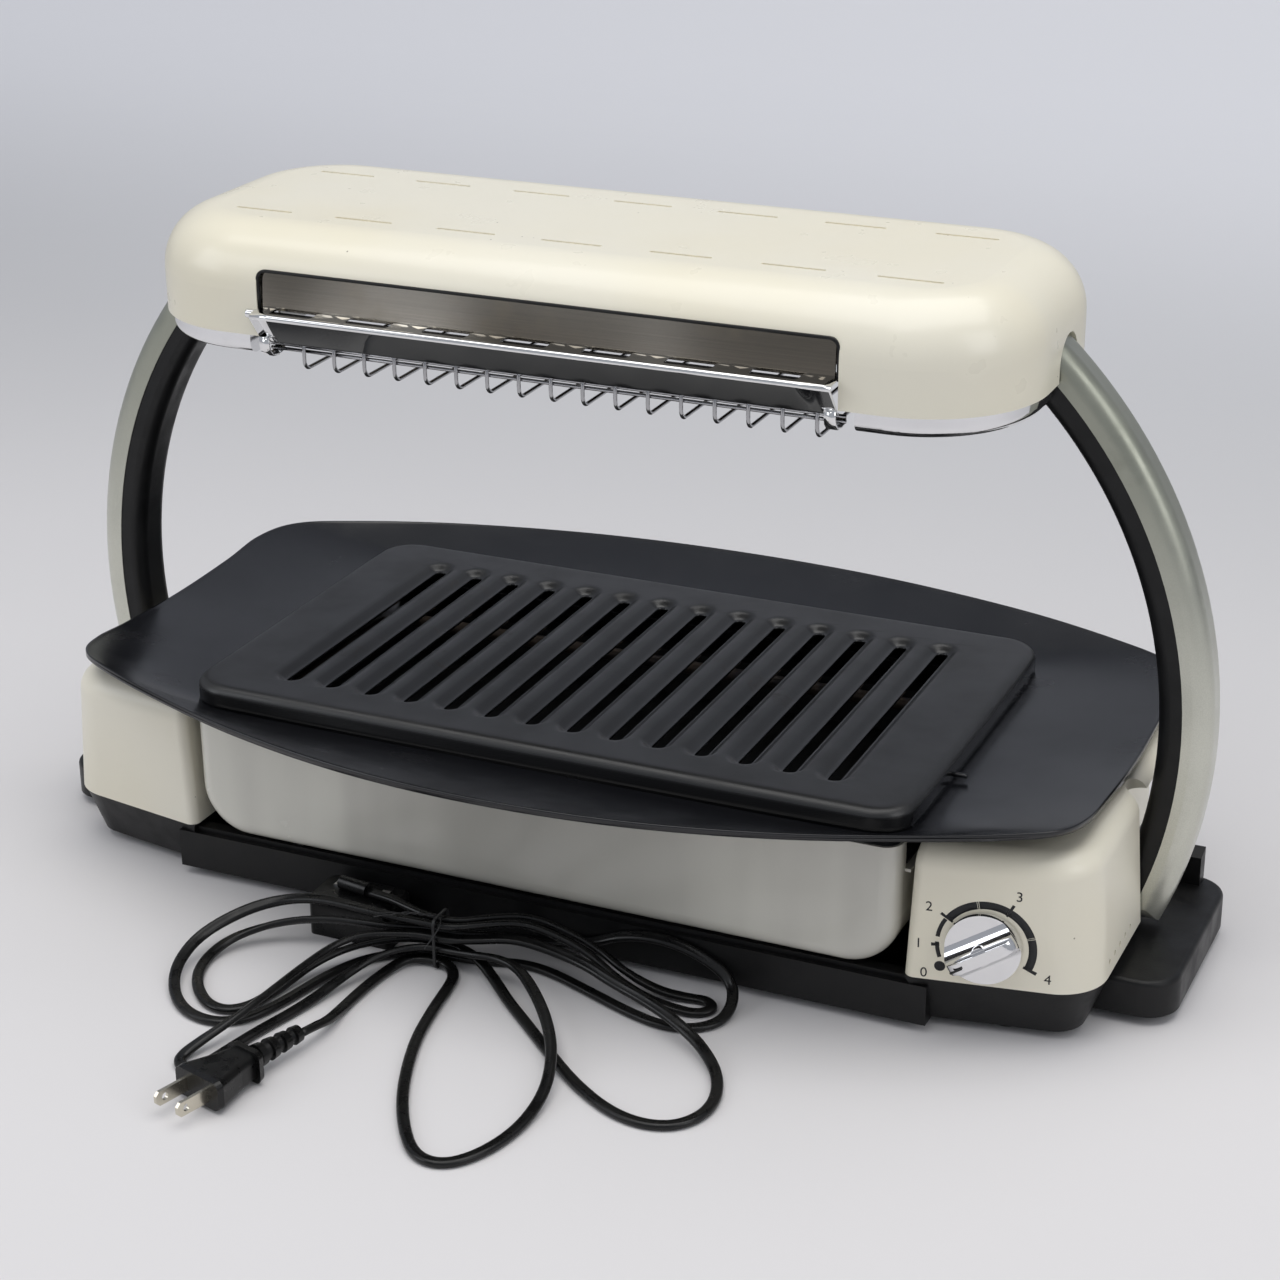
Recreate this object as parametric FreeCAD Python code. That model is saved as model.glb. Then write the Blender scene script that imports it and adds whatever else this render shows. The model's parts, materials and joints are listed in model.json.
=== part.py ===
"""Electric table grill with an arched heater hood, a slotted plate and a pull-out pan. Millimetres, +Z up.
Origin: centre of the footprint on the table. +X to the control side, -Y to the cook."""
import FreeCAD, Part
import math
import os

V = FreeCAD.Vector
os.makedirs("parts", exist_ok=True)

# Heights that several pieces share
RIM_Z = 100.0           # top edge of the guard plate
PLATE_T = 1.8
RECESS_FLOOR = 89.0     # where the slotted plate stands
COVER_TOP = RECESS_FLOOR - PLATE_T  # flat top of the covers, where the guard plate rests

# Base and end covers
FOOT_H = 4.5            # table to the underside of the black base
SPLIT_Z = 27.0          # joint line between the black base and the cream covers
COVER_IN = 171.0        # inner face of a cover, next to the pan
COVER_OUT = 249.0       # outer face of a cover at its foot
COVER_DRAFT_IN = 3.0    # how far the inner face leans out at the top
COVER_DRAFT_OUT = 4.5   # how far the outer face leans in at the top
BASE_HALF_D = 97.0      # half depth of the base at the covers' inner corners
FRONT_SWEEP = 13.0      # how far the front face falls back towards the outer corner
CORNER_OUT_R = 22.0     # plan radius of the covers' outer corners
CORNER_IN_R = 4.0       # plan radius of the covers' inner corners
COVER_WALL = 2.5
COVER_EDGE_R = 10.0     # round shoulder of the covers' top
BASE_WALL = 2.5
BASE_TAPER = 8.0        # how far the black foot draws in towards the table
BASE_STEP = 0.6         # the black base sits this far inside the cream edge
BAR_T = 9.0             # front and rear bars between the two ends
BAR_TOP = 24.8
BAR_SETBACK = 2.0       # from the covers' front corners to the bars
FLOOR_Z = 8.0           # underside of the tray floor between the bars
RUNNER_X = 120.0        # the two ribs that carry the pan
RUNNER_T = 4.0
DECK_OUT = 273.5        # outer end of the low deck behind each arm
DECK_TOP = 21.0
DECK_FRONT = -53.0
DECK_BACK = 50.5
DECK_R = 15.0
FOOT_R = 9.0
FOOT_X = 208.0
FOOT_Y = 66.0
FOOT_SINK = 1.5         # depth of the pocket that holds a rubber foot
NUB_X = 150.0
NUB_Y = 86.0
NUB_R = 2.7
NUB_LOW = 0.6

# Arm recess in each cover
NICHE_X = 226.0
NICHE_FRONT = -13.0
NICHE_TOP = 82.0
NICHE_BITE_R = 8.0

# Arms: a half shell outside, another inside, on a steel core, all turned about one centre
ARC_X = 48.6            # centre of the arc, out from the middle of the grill
ARC_Z = 110.5
ARC_R = 211.5           # to the joint line of the two half shells
SHELL_T = 12.0          # radial depth of the outer half shell
INNER_T = 11.0          # radial depth of the inner half shell
ARM_HALF_W = 11.5
INNER_STEP = 0.3        # the inner half is narrower by this on each side
ARM_WALL = 2.0
ARM_OUT_R = 8.0
ARM_IN_R = 6.0
CORE_HALF_W = 5.0
CORE_WALL = 1.5
ARM_LOW_DEG = -25.5
ARM_HIGH_DEG = 58.0
ARM_TOP_Z = 286.0       # the arms end here, under the hood's frame

# Hood hinge
PIVOT_Z = 36.0
PIN_R = 3.0
PIN_FIT = 0.05          # radial running clearance of the pin in the arm
ARM_FOOT_R = 12.2       # rounded lower end of an arm about the pin
EYE_R = 8.0
CHEEK_X = 226.3
CHEEK_T = 2.5
CHEEK_HALF_W = 9.0
FLANGE_T = 1.5
TILT_MAX = 75.0
STOP_Y = 40.0
STOP_T = 8.0
STOP_X = 246.0
STOP_W = 16.0
STOP_GAP = 0.4

# Hood
HOOD_HALF_L = 200.5
HOOD_FRONT = -79.0
HOOD_BACK = 69.0
HOOD_LOW = 260.0
HOOD_TOP = 305.0
HOOD_CORNER_R = 52.0
HOOD_EDGE_R = 26.0
HOOD_WALL = 2.2
MOUTH_HALF = 131.0      # half width of the opening in the hood's front wall
MOUTH_TOP = 289.0
MOUTH_R = 4.0
NOTCH_GAP = 1.0         # round an arm in the hood's end
NOTCH_TOP = 278.0
VENT_N = 7
VENT_PITCH = 49.0
VENT_L = 27.6
VENT_W = 1.8
VENT_ROWS = (-43.0, 29.0)
FRAME_T = 2.5
FRAME_HALF_L = 186.0
FRAME_HALF_W = 16.0
BOSS_X = 142.0
BOSS_Y = 9.0
BOSS_R = 4.0
SCREW_R = 1.5
SCREW_L = 10.0
SHEET = 0.8             # stainless sheet
MIRROR_HALF = 129.0
LEDGE_Y = -86.0
FLAP_LOW = 257.5
FLAP_LOW_Y = -82.4
SLOT_N = 7
SLOT_PITCH = 36.3
SLOT_L = 20.5
SLOT_SHIFT = -3.7       # the row of slots stands off the middle
TRIM_IN = 137.0
TRIM_LOW = 250.5
TRIM_T = 1.0
TRIM_GAP = 0.3
TRIM_R = 5.0

# Heaters and wire guard
HEATER_R = 4.0
HEATER_YS = (-34.0, 20.0)
HEATER_Z = 268.0
HEATER_HALF = 139.0
HOLDER_X = 127.5
HOLDER_T = 1.2
WIRE_R = 1.0
WIRE_N = 17
WIRE_PITCH = 14.6
WIRE_SHIFT = 1.4
WIRE_FRONT = -70.5
WIRE_BACK = 56.3
WIRE_LOW = 245.4
WIRE_REAR_TOP = 266.0   # the rear legs stand against the reflector
WIRE_BEND = 3.5
RAIL_Z = 255.4
RAIL_STEP = 2.2
RAIL_HALF = 131.0
HOOK_W = 5.0            # curled hooks of the flap that hold the rails

# Lower heater, between the pan and the plates
LOW_HEATER_Z = 78.5
LOW_HEATER_R = 3.2
LOW_HEATER_X = 148.0
LOW_HEATER_Y = 52.0
LOW_HEATER_IN = 14.0    # half distance between its two ends
LOW_HEATER_BEND = 14.0
TERMINAL_X = 177.0
REST_T = 2.2
REST_Y = 30.0
REST_W = 8.0

# Socket for the cord, in the rear of the right cover
SOCKET_W = 34.0
SOCKET_H = 18.0

# Cord set, laid in front of the base
CONNECTOR = (-98.0, -57.0, -121.0, -98.0, 19.4)  # x from and to, y from and to, height
RELIEF_R = 3.2
RELIEF_L = 15.0
RELIEF_Z = 22.2
CONTACT_X = 11.5
CORD_D = 5.1
CORD_SIDES = 8
TIE_X = -31.0
TIE_T = 0.7
PLUG_TURN = -106.0      # heading of the plug, degrees from +X
PLUG_NECK = 27.0
PLUG_NECK_R0 = 3.6
PLUG_NECK_R1 = 5.2
RELIEF_RIBS = 4
PLUG_BODY = 28.0
BLADE_GAP = 12.7
BLADE_L = 16.0
BLADE_W = 6.3
BLADE_T = 1.5

# Plates
LIP_PROUD = 0.6
DISH_DEPTH = 6.4
LIP_IN = 0.045         # share of the way from rim to well at which the lip ends
GUARD_FRONT = -151.0
GUARD_BACK = 151.0
RECESS_HALF = 181.5
RECESS_FRONT = -104.0
RECESS_BACK = 108.0
RECESS_R = 20.0
WELL_WALL = 1.8
GUARD_HOLE_X = 150.0
GUARD_HOLE_Y = 78.0
GRILL_HALF_L = 170.5
GRILL_FRONT = -98.0
GRILL_BACK = 99.5
GRILL_TOP = 100.0
GRILL_CORNER_R = 18.0
GRILL_EDGE_R = 4.5
GRILL_WALL = 2.0
GRILL_SLOTS = 14
GRILL_PITCH = 20.0
GRILL_SLOT_L = 146.5
GRILL_SLOT_W = 5.6
GRILL_VALLEY_W = 11.0
GRILL_VALLEY_D = 2.6

# Pan and drip tray
PAN_LOW = 26.0
PAN_TOP = 70.0          # rim of the tub, under the lower heater
PAN_FACE_TOP = 84.0     # the front face stands higher
PAN_HALF_L = 167.5
PAN_FRONT = -97.0
PAN_BACK = 92.0
PAN_CORNER_R = 24.0
PAN_FACE_R = 8.0
PAN_WALL = 1.4
PAN_LIP = 2.6
TRAY_HALF_L = 158.0
TRAY_HALF_D = 84.0
TRAY_LOW = 52.0
TRAY_R = 14.0
TRAY_T = 1.0
PAN_TRAVEL = 110.0

# Knob and what is behind it
KNOB_ALONG = 33.0       # from the cover's inner front corner, along the face
KNOB_Z = 45.6
KNOB_R = 15.6
KNOB_H = 13.0
KNOB_SKIRT_H = 6.0
KNOB_GAP = 0.6
GRIP_TOP_W = 5.0        # width of the grip's ridge at its top
GRIP_FOOT_W = 15.0      # and where it meets the scooped floor
SCOOP_Z = 4.0           # height of the scooped floor
OFF_DEG = 211.2         # where the pointer stands when off, anticlockwise from the face's long axis
SPINDLE_R = 3.0
SPINDLE_FIT = 0.05
SWITCH_R = 14.0
SWITCH_H = 24.0
BUSH_R = 5.0


def box(x0, x1, y0, y1, z0, z1):
    return Part.makeBox(x1 - x0, y1 - y0, z1 - z0, V(x0, y0, z0))


def cylinder(r, length, start, axis):
    return Part.makeCylinder(r, length, V(*start), V(*axis))


def rounded(points, radii, z=0.0):
    """Closed wire through plan points, each corner turned by a tangent arc."""
    n = len(points)
    pts = [V(p[0], p[1], z) for p in points]
    edges, ends = [], []
    for i in range(n):
        p, a, b = pts[i], pts[i - 1], pts[(i + 1) % n]
        r = radii[i]
        if r <= 0:
            ends.append((p, p, None))
            continue
        u, w = (a - p).normalize(), (b - p).normalize()
        half = u.getAngle(w) / 2
        cut = r / math.tan(half)
        mid = p + (u + w).normalize() * (r / math.sin(half) - r)
        ends.append((p + u * cut, p + w * cut, mid))
    for i in range(n):
        start, end, mid = ends[i]
        if mid is not None:
            edges.append(Part.Arc(start, mid, end).toShape())
        after = ends[(i + 1) % n][0]
        if (after - end).Length > 1e-6:
            edges.append(Part.makeLine(end, after))
    return Part.Wire(edges)


def rounded_path(pts, radii):
    """Open wire through points, each inner point turned by a tangent arc."""
    edges, last = [], pts[0]
    for i in range(1, len(pts) - 1):
        p, r = pts[i], radii[i - 1]
        u, w = (pts[i - 1] - p).normalize(), (pts[i + 1] - p).normalize()
        half = u.getAngle(w) / 2
        cut = r / math.tan(half)
        edges.append(Part.makeLine(last, p + u * cut))
        edges.append(Part.Arc(p + u * cut, p + (u + w).normalize() * (r / math.sin(half) - r), p + w * cut).toShape())
        last = p + w * cut
    edges.append(Part.makeLine(last, pts[-1]))
    return Part.Wire(edges)


def prism(wire, vector):
    return Part.Face(wire).extrude(V(*vector))


def mirrored(shape):
    return shape.mirror(V(0, 0, 0), V(1, 0, 0))


def cut_all(shape, tools):
    return shape.cut(Part.makeCompound(tools))


def fused(first, others):
    return first.multiFuse(others).removeSplitter()


def stadium(cx, cy, length, width, z, along_x=True):
    """Closed wire of a slot with round ends."""
    r, h = width / 2, length / 2 - width / 2
    if along_x:
        p = [V(cx - h, cy - r, z), V(cx + h, cy - r, z), V(cx + h + r, cy, z),
             V(cx + h, cy + r, z), V(cx - h, cy + r, z), V(cx - h - r, cy, z)]
    else:
        p = [V(cx + r, cy - h, z), V(cx + r, cy + h, z), V(cx, cy + h + r, z),
             V(cx - r, cy + h, z), V(cx - r, cy - h, z), V(cx, cy - h - r, z)]
    return Part.Wire([Part.makeLine(p[0], p[1]), Part.Arc(p[1], p[2], p[3]).toShape(),
                      Part.makeLine(p[3], p[4]), Part.Arc(p[4], p[5], p[0]).toShape()])


def sheet_strip(points, thick, x0, x1):
    """Sheet bent along lines that run in X: (y, z) points on its middle, mitred at each bend."""
    pts = [V(x0, y, z) for y, z in points]
    left, right = [], []
    for i, p in enumerate(pts):
        before = (p - pts[i - 1]).normalize() if i else None
        after = (pts[i + 1] - p).normalize() if i + 1 < len(pts) else None
        d = (before + after).normalize() if before and after else (before or after)
        scale = 1 / math.cos(before.getAngle(after) / 2) if before and after else 1.0
        side = V(0, -d.z, d.y) * (thick / 2 * scale)
        left.append(p + side)
        right.append(p - side)
    ring = left + right[::-1]
    return Part.Face(Part.makePolygon(ring + [ring[0]])).extrude(V(x1 - x0, 0, 0))


def face_y(x, grow=0.0):
    """Y of the covers' swept front face at x."""
    return -BASE_HALF_D + grow + (abs(x) - COVER_IN) * FRONT_SWEEP / (COVER_OUT - COVER_IN)


def cover_ring(z, lean_in, lean_out, inset):
    """Plan outline of the right cover, drawn in by inset all round."""
    xi, xo = COVER_IN + lean_in + inset, COVER_OUT - lean_out - inset
    yi, yo = face_y(xi, inset), face_y(xo, inset)
    return [V(xi, yi, z), V(xo, yo, z), V(xo, -yo, z), V(xi, -yi, z)]


def cover_wire(z, lean_in, lean_out, inset):
    """The same outline with its round outer corners."""
    r = CORNER_OUT_R - inset
    return rounded([(p.x, p.y) for p in cover_ring(z, lean_in, lean_out, inset)], [0, r, r, 0], z)


def flat_block(low, high):
    """Solid between two matching polygons, all faces flat."""
    n = len(low)
    sides = [[low[i], low[(i + 1) % n], high[(i + 1) % n], high[i]] for i in range(n)]
    faces = [Part.Face(Part.makePolygon(p + p[:1])) for p in sides + [low, high]]
    solid = Part.Solid(Part.Shell(faces))
    if solid.Volume < 0:
        solid.reverse()
    return solid


def level_edges(shape, z):
    return [e for e in shape.Edges if abs(e.BoundBox.ZMin - z) < 1e-4 and abs(e.BoundBox.ZMax - z) < 1e-4]


def cover_body(low, high, inset):
    """Drafted block of the right cover: a wide round shoulder outside, a tight edge next to the pan."""
    body = flat_block(cover_ring(low, 0, 0, inset), cover_ring(high, COVER_DRAFT_IN, COVER_DRAFT_OUT, inset))
    upright = [e for e in body.Edges if e.BoundBox.ZLength > 1 and e.BoundBox.XMin > COVER_OUT - inset - 10]
    body = body.makeFillet(CORNER_OUT_R - inset, upright)
    x_top = COVER_IN + COVER_DRAFT_IN + inset
    shoulder = [e for e in level_edges(body, high) if e.BoundBox.XMax > x_top + 0.01]
    if inset:
        return body.makeChamfer(COVER_EDGE_R / 2, shoulder)
    body = body.makeFillet(COVER_EDGE_R, shoulder)
    inner_face = min(body.Faces, key=lambda f: f.CenterOfMass.x)
    rim = [e for e in inner_face.Edges if e.BoundBox.ZMax > low + 0.01]
    return body.makeFillet(CORNER_IN_R, rim)


def make_cover():
    """Cream cover of the right end: drafted shell, open below, with the recess for the arm."""
    outer = cover_body(SPLIT_Z, COVER_TOP, 0)
    inner = cover_body(SPLIT_Z - 1, COVER_TOP - COVER_WALL, COVER_WALL)
    reach = BASE_HALF_D + 10
    niche = box(NICHE_X, COVER_OUT + 10, NICHE_FRONT, reach, SPLIT_Z - 1, NICHE_TOP)
    bite = cylinder(NICHE_BITE_R, 20, (COVER_OUT - COVER_DRAFT_OUT, NICHE_FRONT + NICHE_BITE_R, NICHE_TOP - 10),
                    (0, 0, 1))
    keep = box(NICHE_X - COVER_WALL, COVER_OUT + 10, NICHE_FRONT - COVER_WALL, reach, SPLIT_Z - 2, COVER_TOP)
    return outer.cut(niche).cut(bite).cut(inner.cut(keep))


def make_base():
    """Black base: two tapered ends, two bars, the tray floor with its runners and the low decks."""
    top = cover_wire(SPLIT_Z, 0, 0, BASE_STEP)
    low = cover_wire(FOOT_H, 0, 0, BASE_STEP + BASE_TAPER)
    tub = Part.makeLoft([low, top], True, True)
    hollow = Part.makeLoft([cover_wire(FOOT_H + BASE_WALL, 0, 0, BASE_TAPER + BASE_WALL + BASE_STEP),
                            cover_wire(SPLIT_Z + 1, 0, 0, BASE_WALL + BASE_STEP)], True, True)
    reach = BASE_HALF_D + 10
    step = box(NICHE_X, COVER_OUT + 10, NICHE_FRONT, reach, DECK_TOP, SPLIT_Z + 5)
    behind = box(NICHE_X, COVER_OUT + 10, DECK_BACK - 2, reach, 0, SPLIT_Z + 5)
    keep = box(NICHE_X - BASE_WALL, COVER_OUT + 10, NICHE_FRONT - BASE_WALL, reach, 0, SPLIT_Z + 5)
    deck_pts = [(NICHE_X - 8, DECK_FRONT), (DECK_OUT, DECK_FRONT), (DECK_OUT, DECK_BACK), (NICHE_X - 8, DECK_BACK)]
    deck = prism(rounded(deck_pts, [2, DECK_R, DECK_R, 2], FOOT_H), (0, 0, DECK_TOP - FOOT_H))
    deck = deck.makeFillet(2.5, level_edges(deck, DECK_TOP))
    deck_in = [(NICHE_X + 1, DECK_FRONT + BASE_WALL), (DECK_OUT - BASE_WALL, DECK_FRONT + BASE_WALL),
               (DECK_OUT - BASE_WALL, DECK_BACK - BASE_WALL), (NICHE_X + 1, DECK_BACK - BASE_WALL)]
    under = prism(rounded(deck_in, [1, DECK_R - BASE_WALL, DECK_R - BASE_WALL, 1], FOOT_H - 1),
                  (0, 0, DECK_TOP - BASE_WALL - FOOT_H + 1))
    tub = tub.cut(hollow.cut(keep)).cut(step).cut(behind)
    stop = box(STOP_X, STOP_X + STOP_W, STOP_Y, STOP_Y + STOP_T, DECK_TOP - 1, STOP_TOP)
    stop = stop.cut(stop_relief())
    end = fused(tub, [deck, stop]).cut(under)
    bar_x = COVER_IN + BASE_TAPER + 2
    y0 = -BASE_HALF_D + BAR_SETBACK
    front = box(-bar_x, bar_x, y0, y0 + BAR_T, FOOT_H, BAR_TOP)
    front = front.cut(box(-bar_x, bar_x, y0 - 1, y0 + BAR_T / 3, BAR_TOP - 2.2, BAR_TOP + 1))
    rear = front.mirror(V(0, 0, 0), V(0, 1, 0))
    floor = box(-bar_x, bar_x, y0 + BAR_T / 2, -y0 - BAR_T / 2, FLOOR_Z, FLOOR_Z + BASE_WALL)
    runners = [box(s * RUNNER_X - RUNNER_T / 2, s * RUNNER_X + RUNNER_T / 2, y0 + BAR_T / 2, -y0 - BAR_T / 2,
                   FLOOR_Z + 1, PAN_LOW) for s in (-1, 1)]
    nubs = [cylinder(NUB_R, FLOOR_Z, (s * NUB_X, t * NUB_Y, NUB_LOW), (0, 0, 1)) for s in (-1, 1) for t in (-1, 1)]
    left_end = mirrored(end)
    body = fused(end, [left_end, front, rear, floor] + runners + nubs)
    pockets = [cylinder(FOOT_R, FOOT_H + FOOT_SINK, (s * FOOT_X, t * FOOT_Y, 0), (0, 0, 1))
               for s in (-1, 1) for t in (-1, 1)]
    return cut_all(body, pockets)


def stop_relief():
    """What an arm leaning back at its limit takes out of the stop, plus a small gap."""
    a = math.radians(TILT_MAX)
    reach = 2 * STOP_Y
    d = (math.sin(a), math.cos(a))
    n = (math.cos(a), -math.sin(a))
    off = ARM_HALF_W + STOP_GAP
    p0 = (n[0] * off, PIVOT_Z + n[1] * off)
    p1 = (p0[0] + d[0] * reach, p0[1] + d[1] * reach)
    pts = [V(STOP_X - 1, *p0), V(STOP_X - 1, *p1), V(STOP_X - 1, p1[0], p1[1] + 60), V(STOP_X - 1, p0[0], p0[1] + 60)]
    return Part.Face(Part.makePolygon(pts + [pts[0]])).extrude(V(STOP_W + 2, 0, 0))


STOP_TOP = PIVOT_Z + 8.0


def arm_sector(face):
    """Turn a section, drawn where the arc is furthest out, round the arc's centre."""
    centre, axis = V(ARC_X, 0, ARC_Z), V(0, 1, 0)
    face.rotate(centre, axis, -ARM_LOW_DEG)
    return face.revolve(centre, axis, -(ARM_HIGH_DEG - ARM_LOW_DEG))


def arm_profile(r0, r1, half, radii):
    pts = [(ARC_X + r0, -half), (ARC_X + r1, -half), (ARC_X + r1, half), (ARC_X + r0, half)]
    return Part.Face(rounded(pts, radii, ARC_Z))


def arm_envelope():
    """Keeps an arm below the frame and rounds its foot about the hinge pin."""
    span = 2 * ARC_R
    above = box(0, span, -span, span, PIVOT_Z, ARM_TOP_Z)
    foot = cylinder(ARM_FOOT_R, span, (0, 0, PIVOT_Z), (1, 0, 0))
    return above.fuse(foot)


def make_arm():
    """Right arm: outer half shell, inner half shell and steel core with the hinge eye."""
    keep = arm_envelope()
    r_mid, r_out, r_in = ARC_R, ARC_R + SHELL_T, ARC_R - INNER_T
    w_in = ARM_HALF_W - INNER_STEP
    shell = arm_sector(arm_profile(r_mid, r_out, ARM_HALF_W, [0, ARM_OUT_R, ARM_OUT_R, 0]))
    hollow = arm_sector(arm_profile(r_mid - 1, r_out - ARM_WALL, ARM_HALF_W - ARM_WALL,
                                    [0, ARM_OUT_R / 3, ARM_OUT_R / 3, 0]))
    inner = arm_sector(arm_profile(r_in, r_mid, w_in, [ARM_IN_R, 0, 0, ARM_IN_R]))
    inside = arm_sector(arm_profile(r_in + ARM_WALL, r_mid + 1, w_in - ARM_WALL,
                                    [ARM_IN_R - ARM_WALL, 0, 0, ARM_IN_R - ARM_WALL]))
    core = arm_sector(arm_profile(r_in + ARM_WALL, r_out - ARM_WALL, CORE_HALF_W, [0, 2, 2, 0]))
    bore = arm_sector(arm_profile(r_in + ARM_WALL + CORE_WALL, r_out - ARM_WALL - CORE_WALL,
                                  CORE_HALF_W - CORE_WALL, [0, 0, 0, 0]))
    pin_hole = cylinder(PIN_R + PIN_FIT, 60, (CHEEK_X - 5, 0, PIVOT_Z), (1, 0, 0))
    pin_pass = cylinder(PIN_R + 1.0, 60, (CHEEK_X - 5, 0, PIVOT_Z), (1, 0, 0))
    eye = cylinder(EYE_R, 60, (CHEEK_X, 0, PIVOT_Z), (1, 0, 0))
    eye = eye.common(arm_sector(arm_profile(r_in + ARM_WALL, r_out - ARM_WALL, w_in - ARM_WALL - 0.2, [3, 5, 5, 3])))
    solid_low = box(0, 2 * ARC_R, -ARM_HALF_W, ARM_HALF_W, 0, PIVOT_Z + EYE_R)
    core = core.cut(bore.cut(solid_low)).common(keep)
    core = fused(core, [eye]).cut(pin_hole)
    shell = shell.cut(hollow).common(keep)
    inner = inner.cut(inside).common(keep).cut(pin_pass)
    return shell, inner, core


def make_hood_cover():
    """Cream hood: rounded box open below, with the mouth, the arm notches and two rows of vents."""
    def ring(inset, z):
        x, y0, y1 = HOOD_HALF_L - inset, HOOD_FRONT + inset, HOOD_BACK - inset
        return rounded([(-x, y0), (x, y0), (x, y1), (-x, y1)], [HOOD_CORNER_R - inset] * 4, z)
    outer = prism(ring(0, HOOD_LOW), (0, 0, HOOD_TOP - HOOD_LOW))
    outer = outer.makeFillet(HOOD_EDGE_R, level_edges(outer, HOOD_TOP))
    inner = prism(ring(HOOD_WALL, HOOD_LOW - 1), (0, 0, HOOD_TOP - HOOD_WALL - HOOD_LOW + 1))
    inner = inner.makeChamfer(0.6 * HOOD_EDGE_R, level_edges(inner, HOOD_TOP - HOOD_WALL))
    mouth = box(-MOUTH_HALF, MOUTH_HALF, HOOD_FRONT - 5, HOOD_FRONT + 12, HOOD_LOW - 5, MOUTH_TOP)
    corner = [e for e in mouth.Edges if abs(e.BoundBox.ZMin - MOUTH_TOP) < 1e-4 and e.BoundBox.YLength > 5
              and e.BoundBox.XLength < 1e-4]
    mouth = mouth.makeFillet(MOUTH_R, corner)
    w = ARM_HALF_W + NOTCH_GAP
    notch = box(HOOD_HALF_L - 30, HOOD_HALF_L + 5, -w, w, HOOD_LOW - 5, NOTCH_TOP - w)
    notch = notch.fuse(cylinder(w, 35, (HOOD_HALF_L - 30, 0, NOTCH_TOP - w), (1, 0, 0)))
    vents = [prism(stadium((i - (VENT_N - 1) / 2) * VENT_PITCH, y, VENT_L, VENT_W, HOOD_TOP - HOOD_WALL - 1),
                   (0, 0, HOOD_WALL + 2)) for i in range(VENT_N) for y in VENT_ROWS]
    shell = cut_all(outer.cut(inner).cut(mouth), [notch, mirrored(notch)] + vents)
    floor = ARM_TOP_Z + FRAME_T
    bosses = [cylinder(BOSS_R, HOOD_TOP - HOOD_WALL / 2 - floor, (x, y, floor), (0, 0, 1)) for x, y in boss_places()]
    holes = [cylinder(SCREW_R, SCREW_L, (x, y, floor - 0.1), (0, 0, 1)) for x, y in boss_places()]
    return cut_all(fused(shell, bosses), holes)


def boss_places():
    return [(s * BOSS_X, t * BOSS_Y) for s in (-1, 1) for t in (-1, 1)]


def make_screw(x, y):
    """Round-head screw from below through the frame into a boss."""
    shank = cylinder(SCREW_R, SCREW_L + FRAME_T - 0.5, (x, y, ARM_TOP_Z), (0, 0, 1))
    head = cylinder(2 * SCREW_R, 1.2, (x, y, ARM_TOP_Z - 1.2), (0, 0, 1))
    return fused(shank, [head])


def make_trim():
    """Chrome tray that closes the right end of the hood from below."""
    def ring(inset, z):
        x, y0, y1 = HOOD_HALF_L - inset, HOOD_FRONT + inset, HOOD_BACK - inset
        r = HOOD_CORNER_R - inset
        return rounded([(TRIM_IN + (TRIM_T if inset > HOOD_WALL + TRIM_GAP else 0), y0), (x, y0), (x, y1),
                        (TRIM_IN + (TRIM_T if inset > HOOD_WALL + TRIM_GAP else 0), y1)], [0, r, r, 0], z)
    out = HOOD_WALL + TRIM_GAP
    body = prism(ring(out, TRIM_LOW), (0, 0, HOOD_LOW + 4 - TRIM_LOW))
    low = [e for e in level_edges(body, TRIM_LOW) if e.BoundBox.XMax > TRIM_IN + 1]
    body = body.makeFillet(TRIM_R, low)
    hollow = prism(ring(out + TRIM_T, TRIM_LOW + TRIM_T), (0, 0, 30))
    inner_low = [e for e in level_edges(hollow, TRIM_LOW + TRIM_T) if e.BoundBox.XMax > TRIM_IN + TRIM_T + 1]
    hollow = hollow.makeFillet(TRIM_R - TRIM_T, inner_low)
    w = ARM_HALF_W + NOTCH_GAP
    r_in = ARC_R - INNER_T - NOTCH_GAP
    arm = arm_sector(Part.Face(rounded([(ARC_X + r_in, -w), (ARC_X + r_in + 60, -w), (ARC_X + r_in + 60, w),
                                        (ARC_X + r_in, w)], [0] * 4, ARC_Z)))
    return body.cut(hollow).cut(arm)


def make_reflector():
    """Stainless trough over the heaters, its front wall showing in the hood's mouth."""
    top = ARM_TOP_Z - SHEET / 2
    low = HOOD_LOW + 12.6
    y = HOOD_FRONT + 1.9
    pts = [(y + 7.5, low - 0.6), (y, low - 0.4), (y + 1.2, MOUTH_TOP - 0.8), (y + 10, top), (HOOD_BACK - 24, top),
           (HOOD_BACK - 12, top - 12), (HOOD_BACK - 10.5, HOOD_LOW + 2), (HOOD_BACK - HOOD_WALL - 0.8, HOOD_LOW + 1)]
    return sheet_strip(pts, SHEET, -MIRROR_HALF, MIRROR_HALF)


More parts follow.
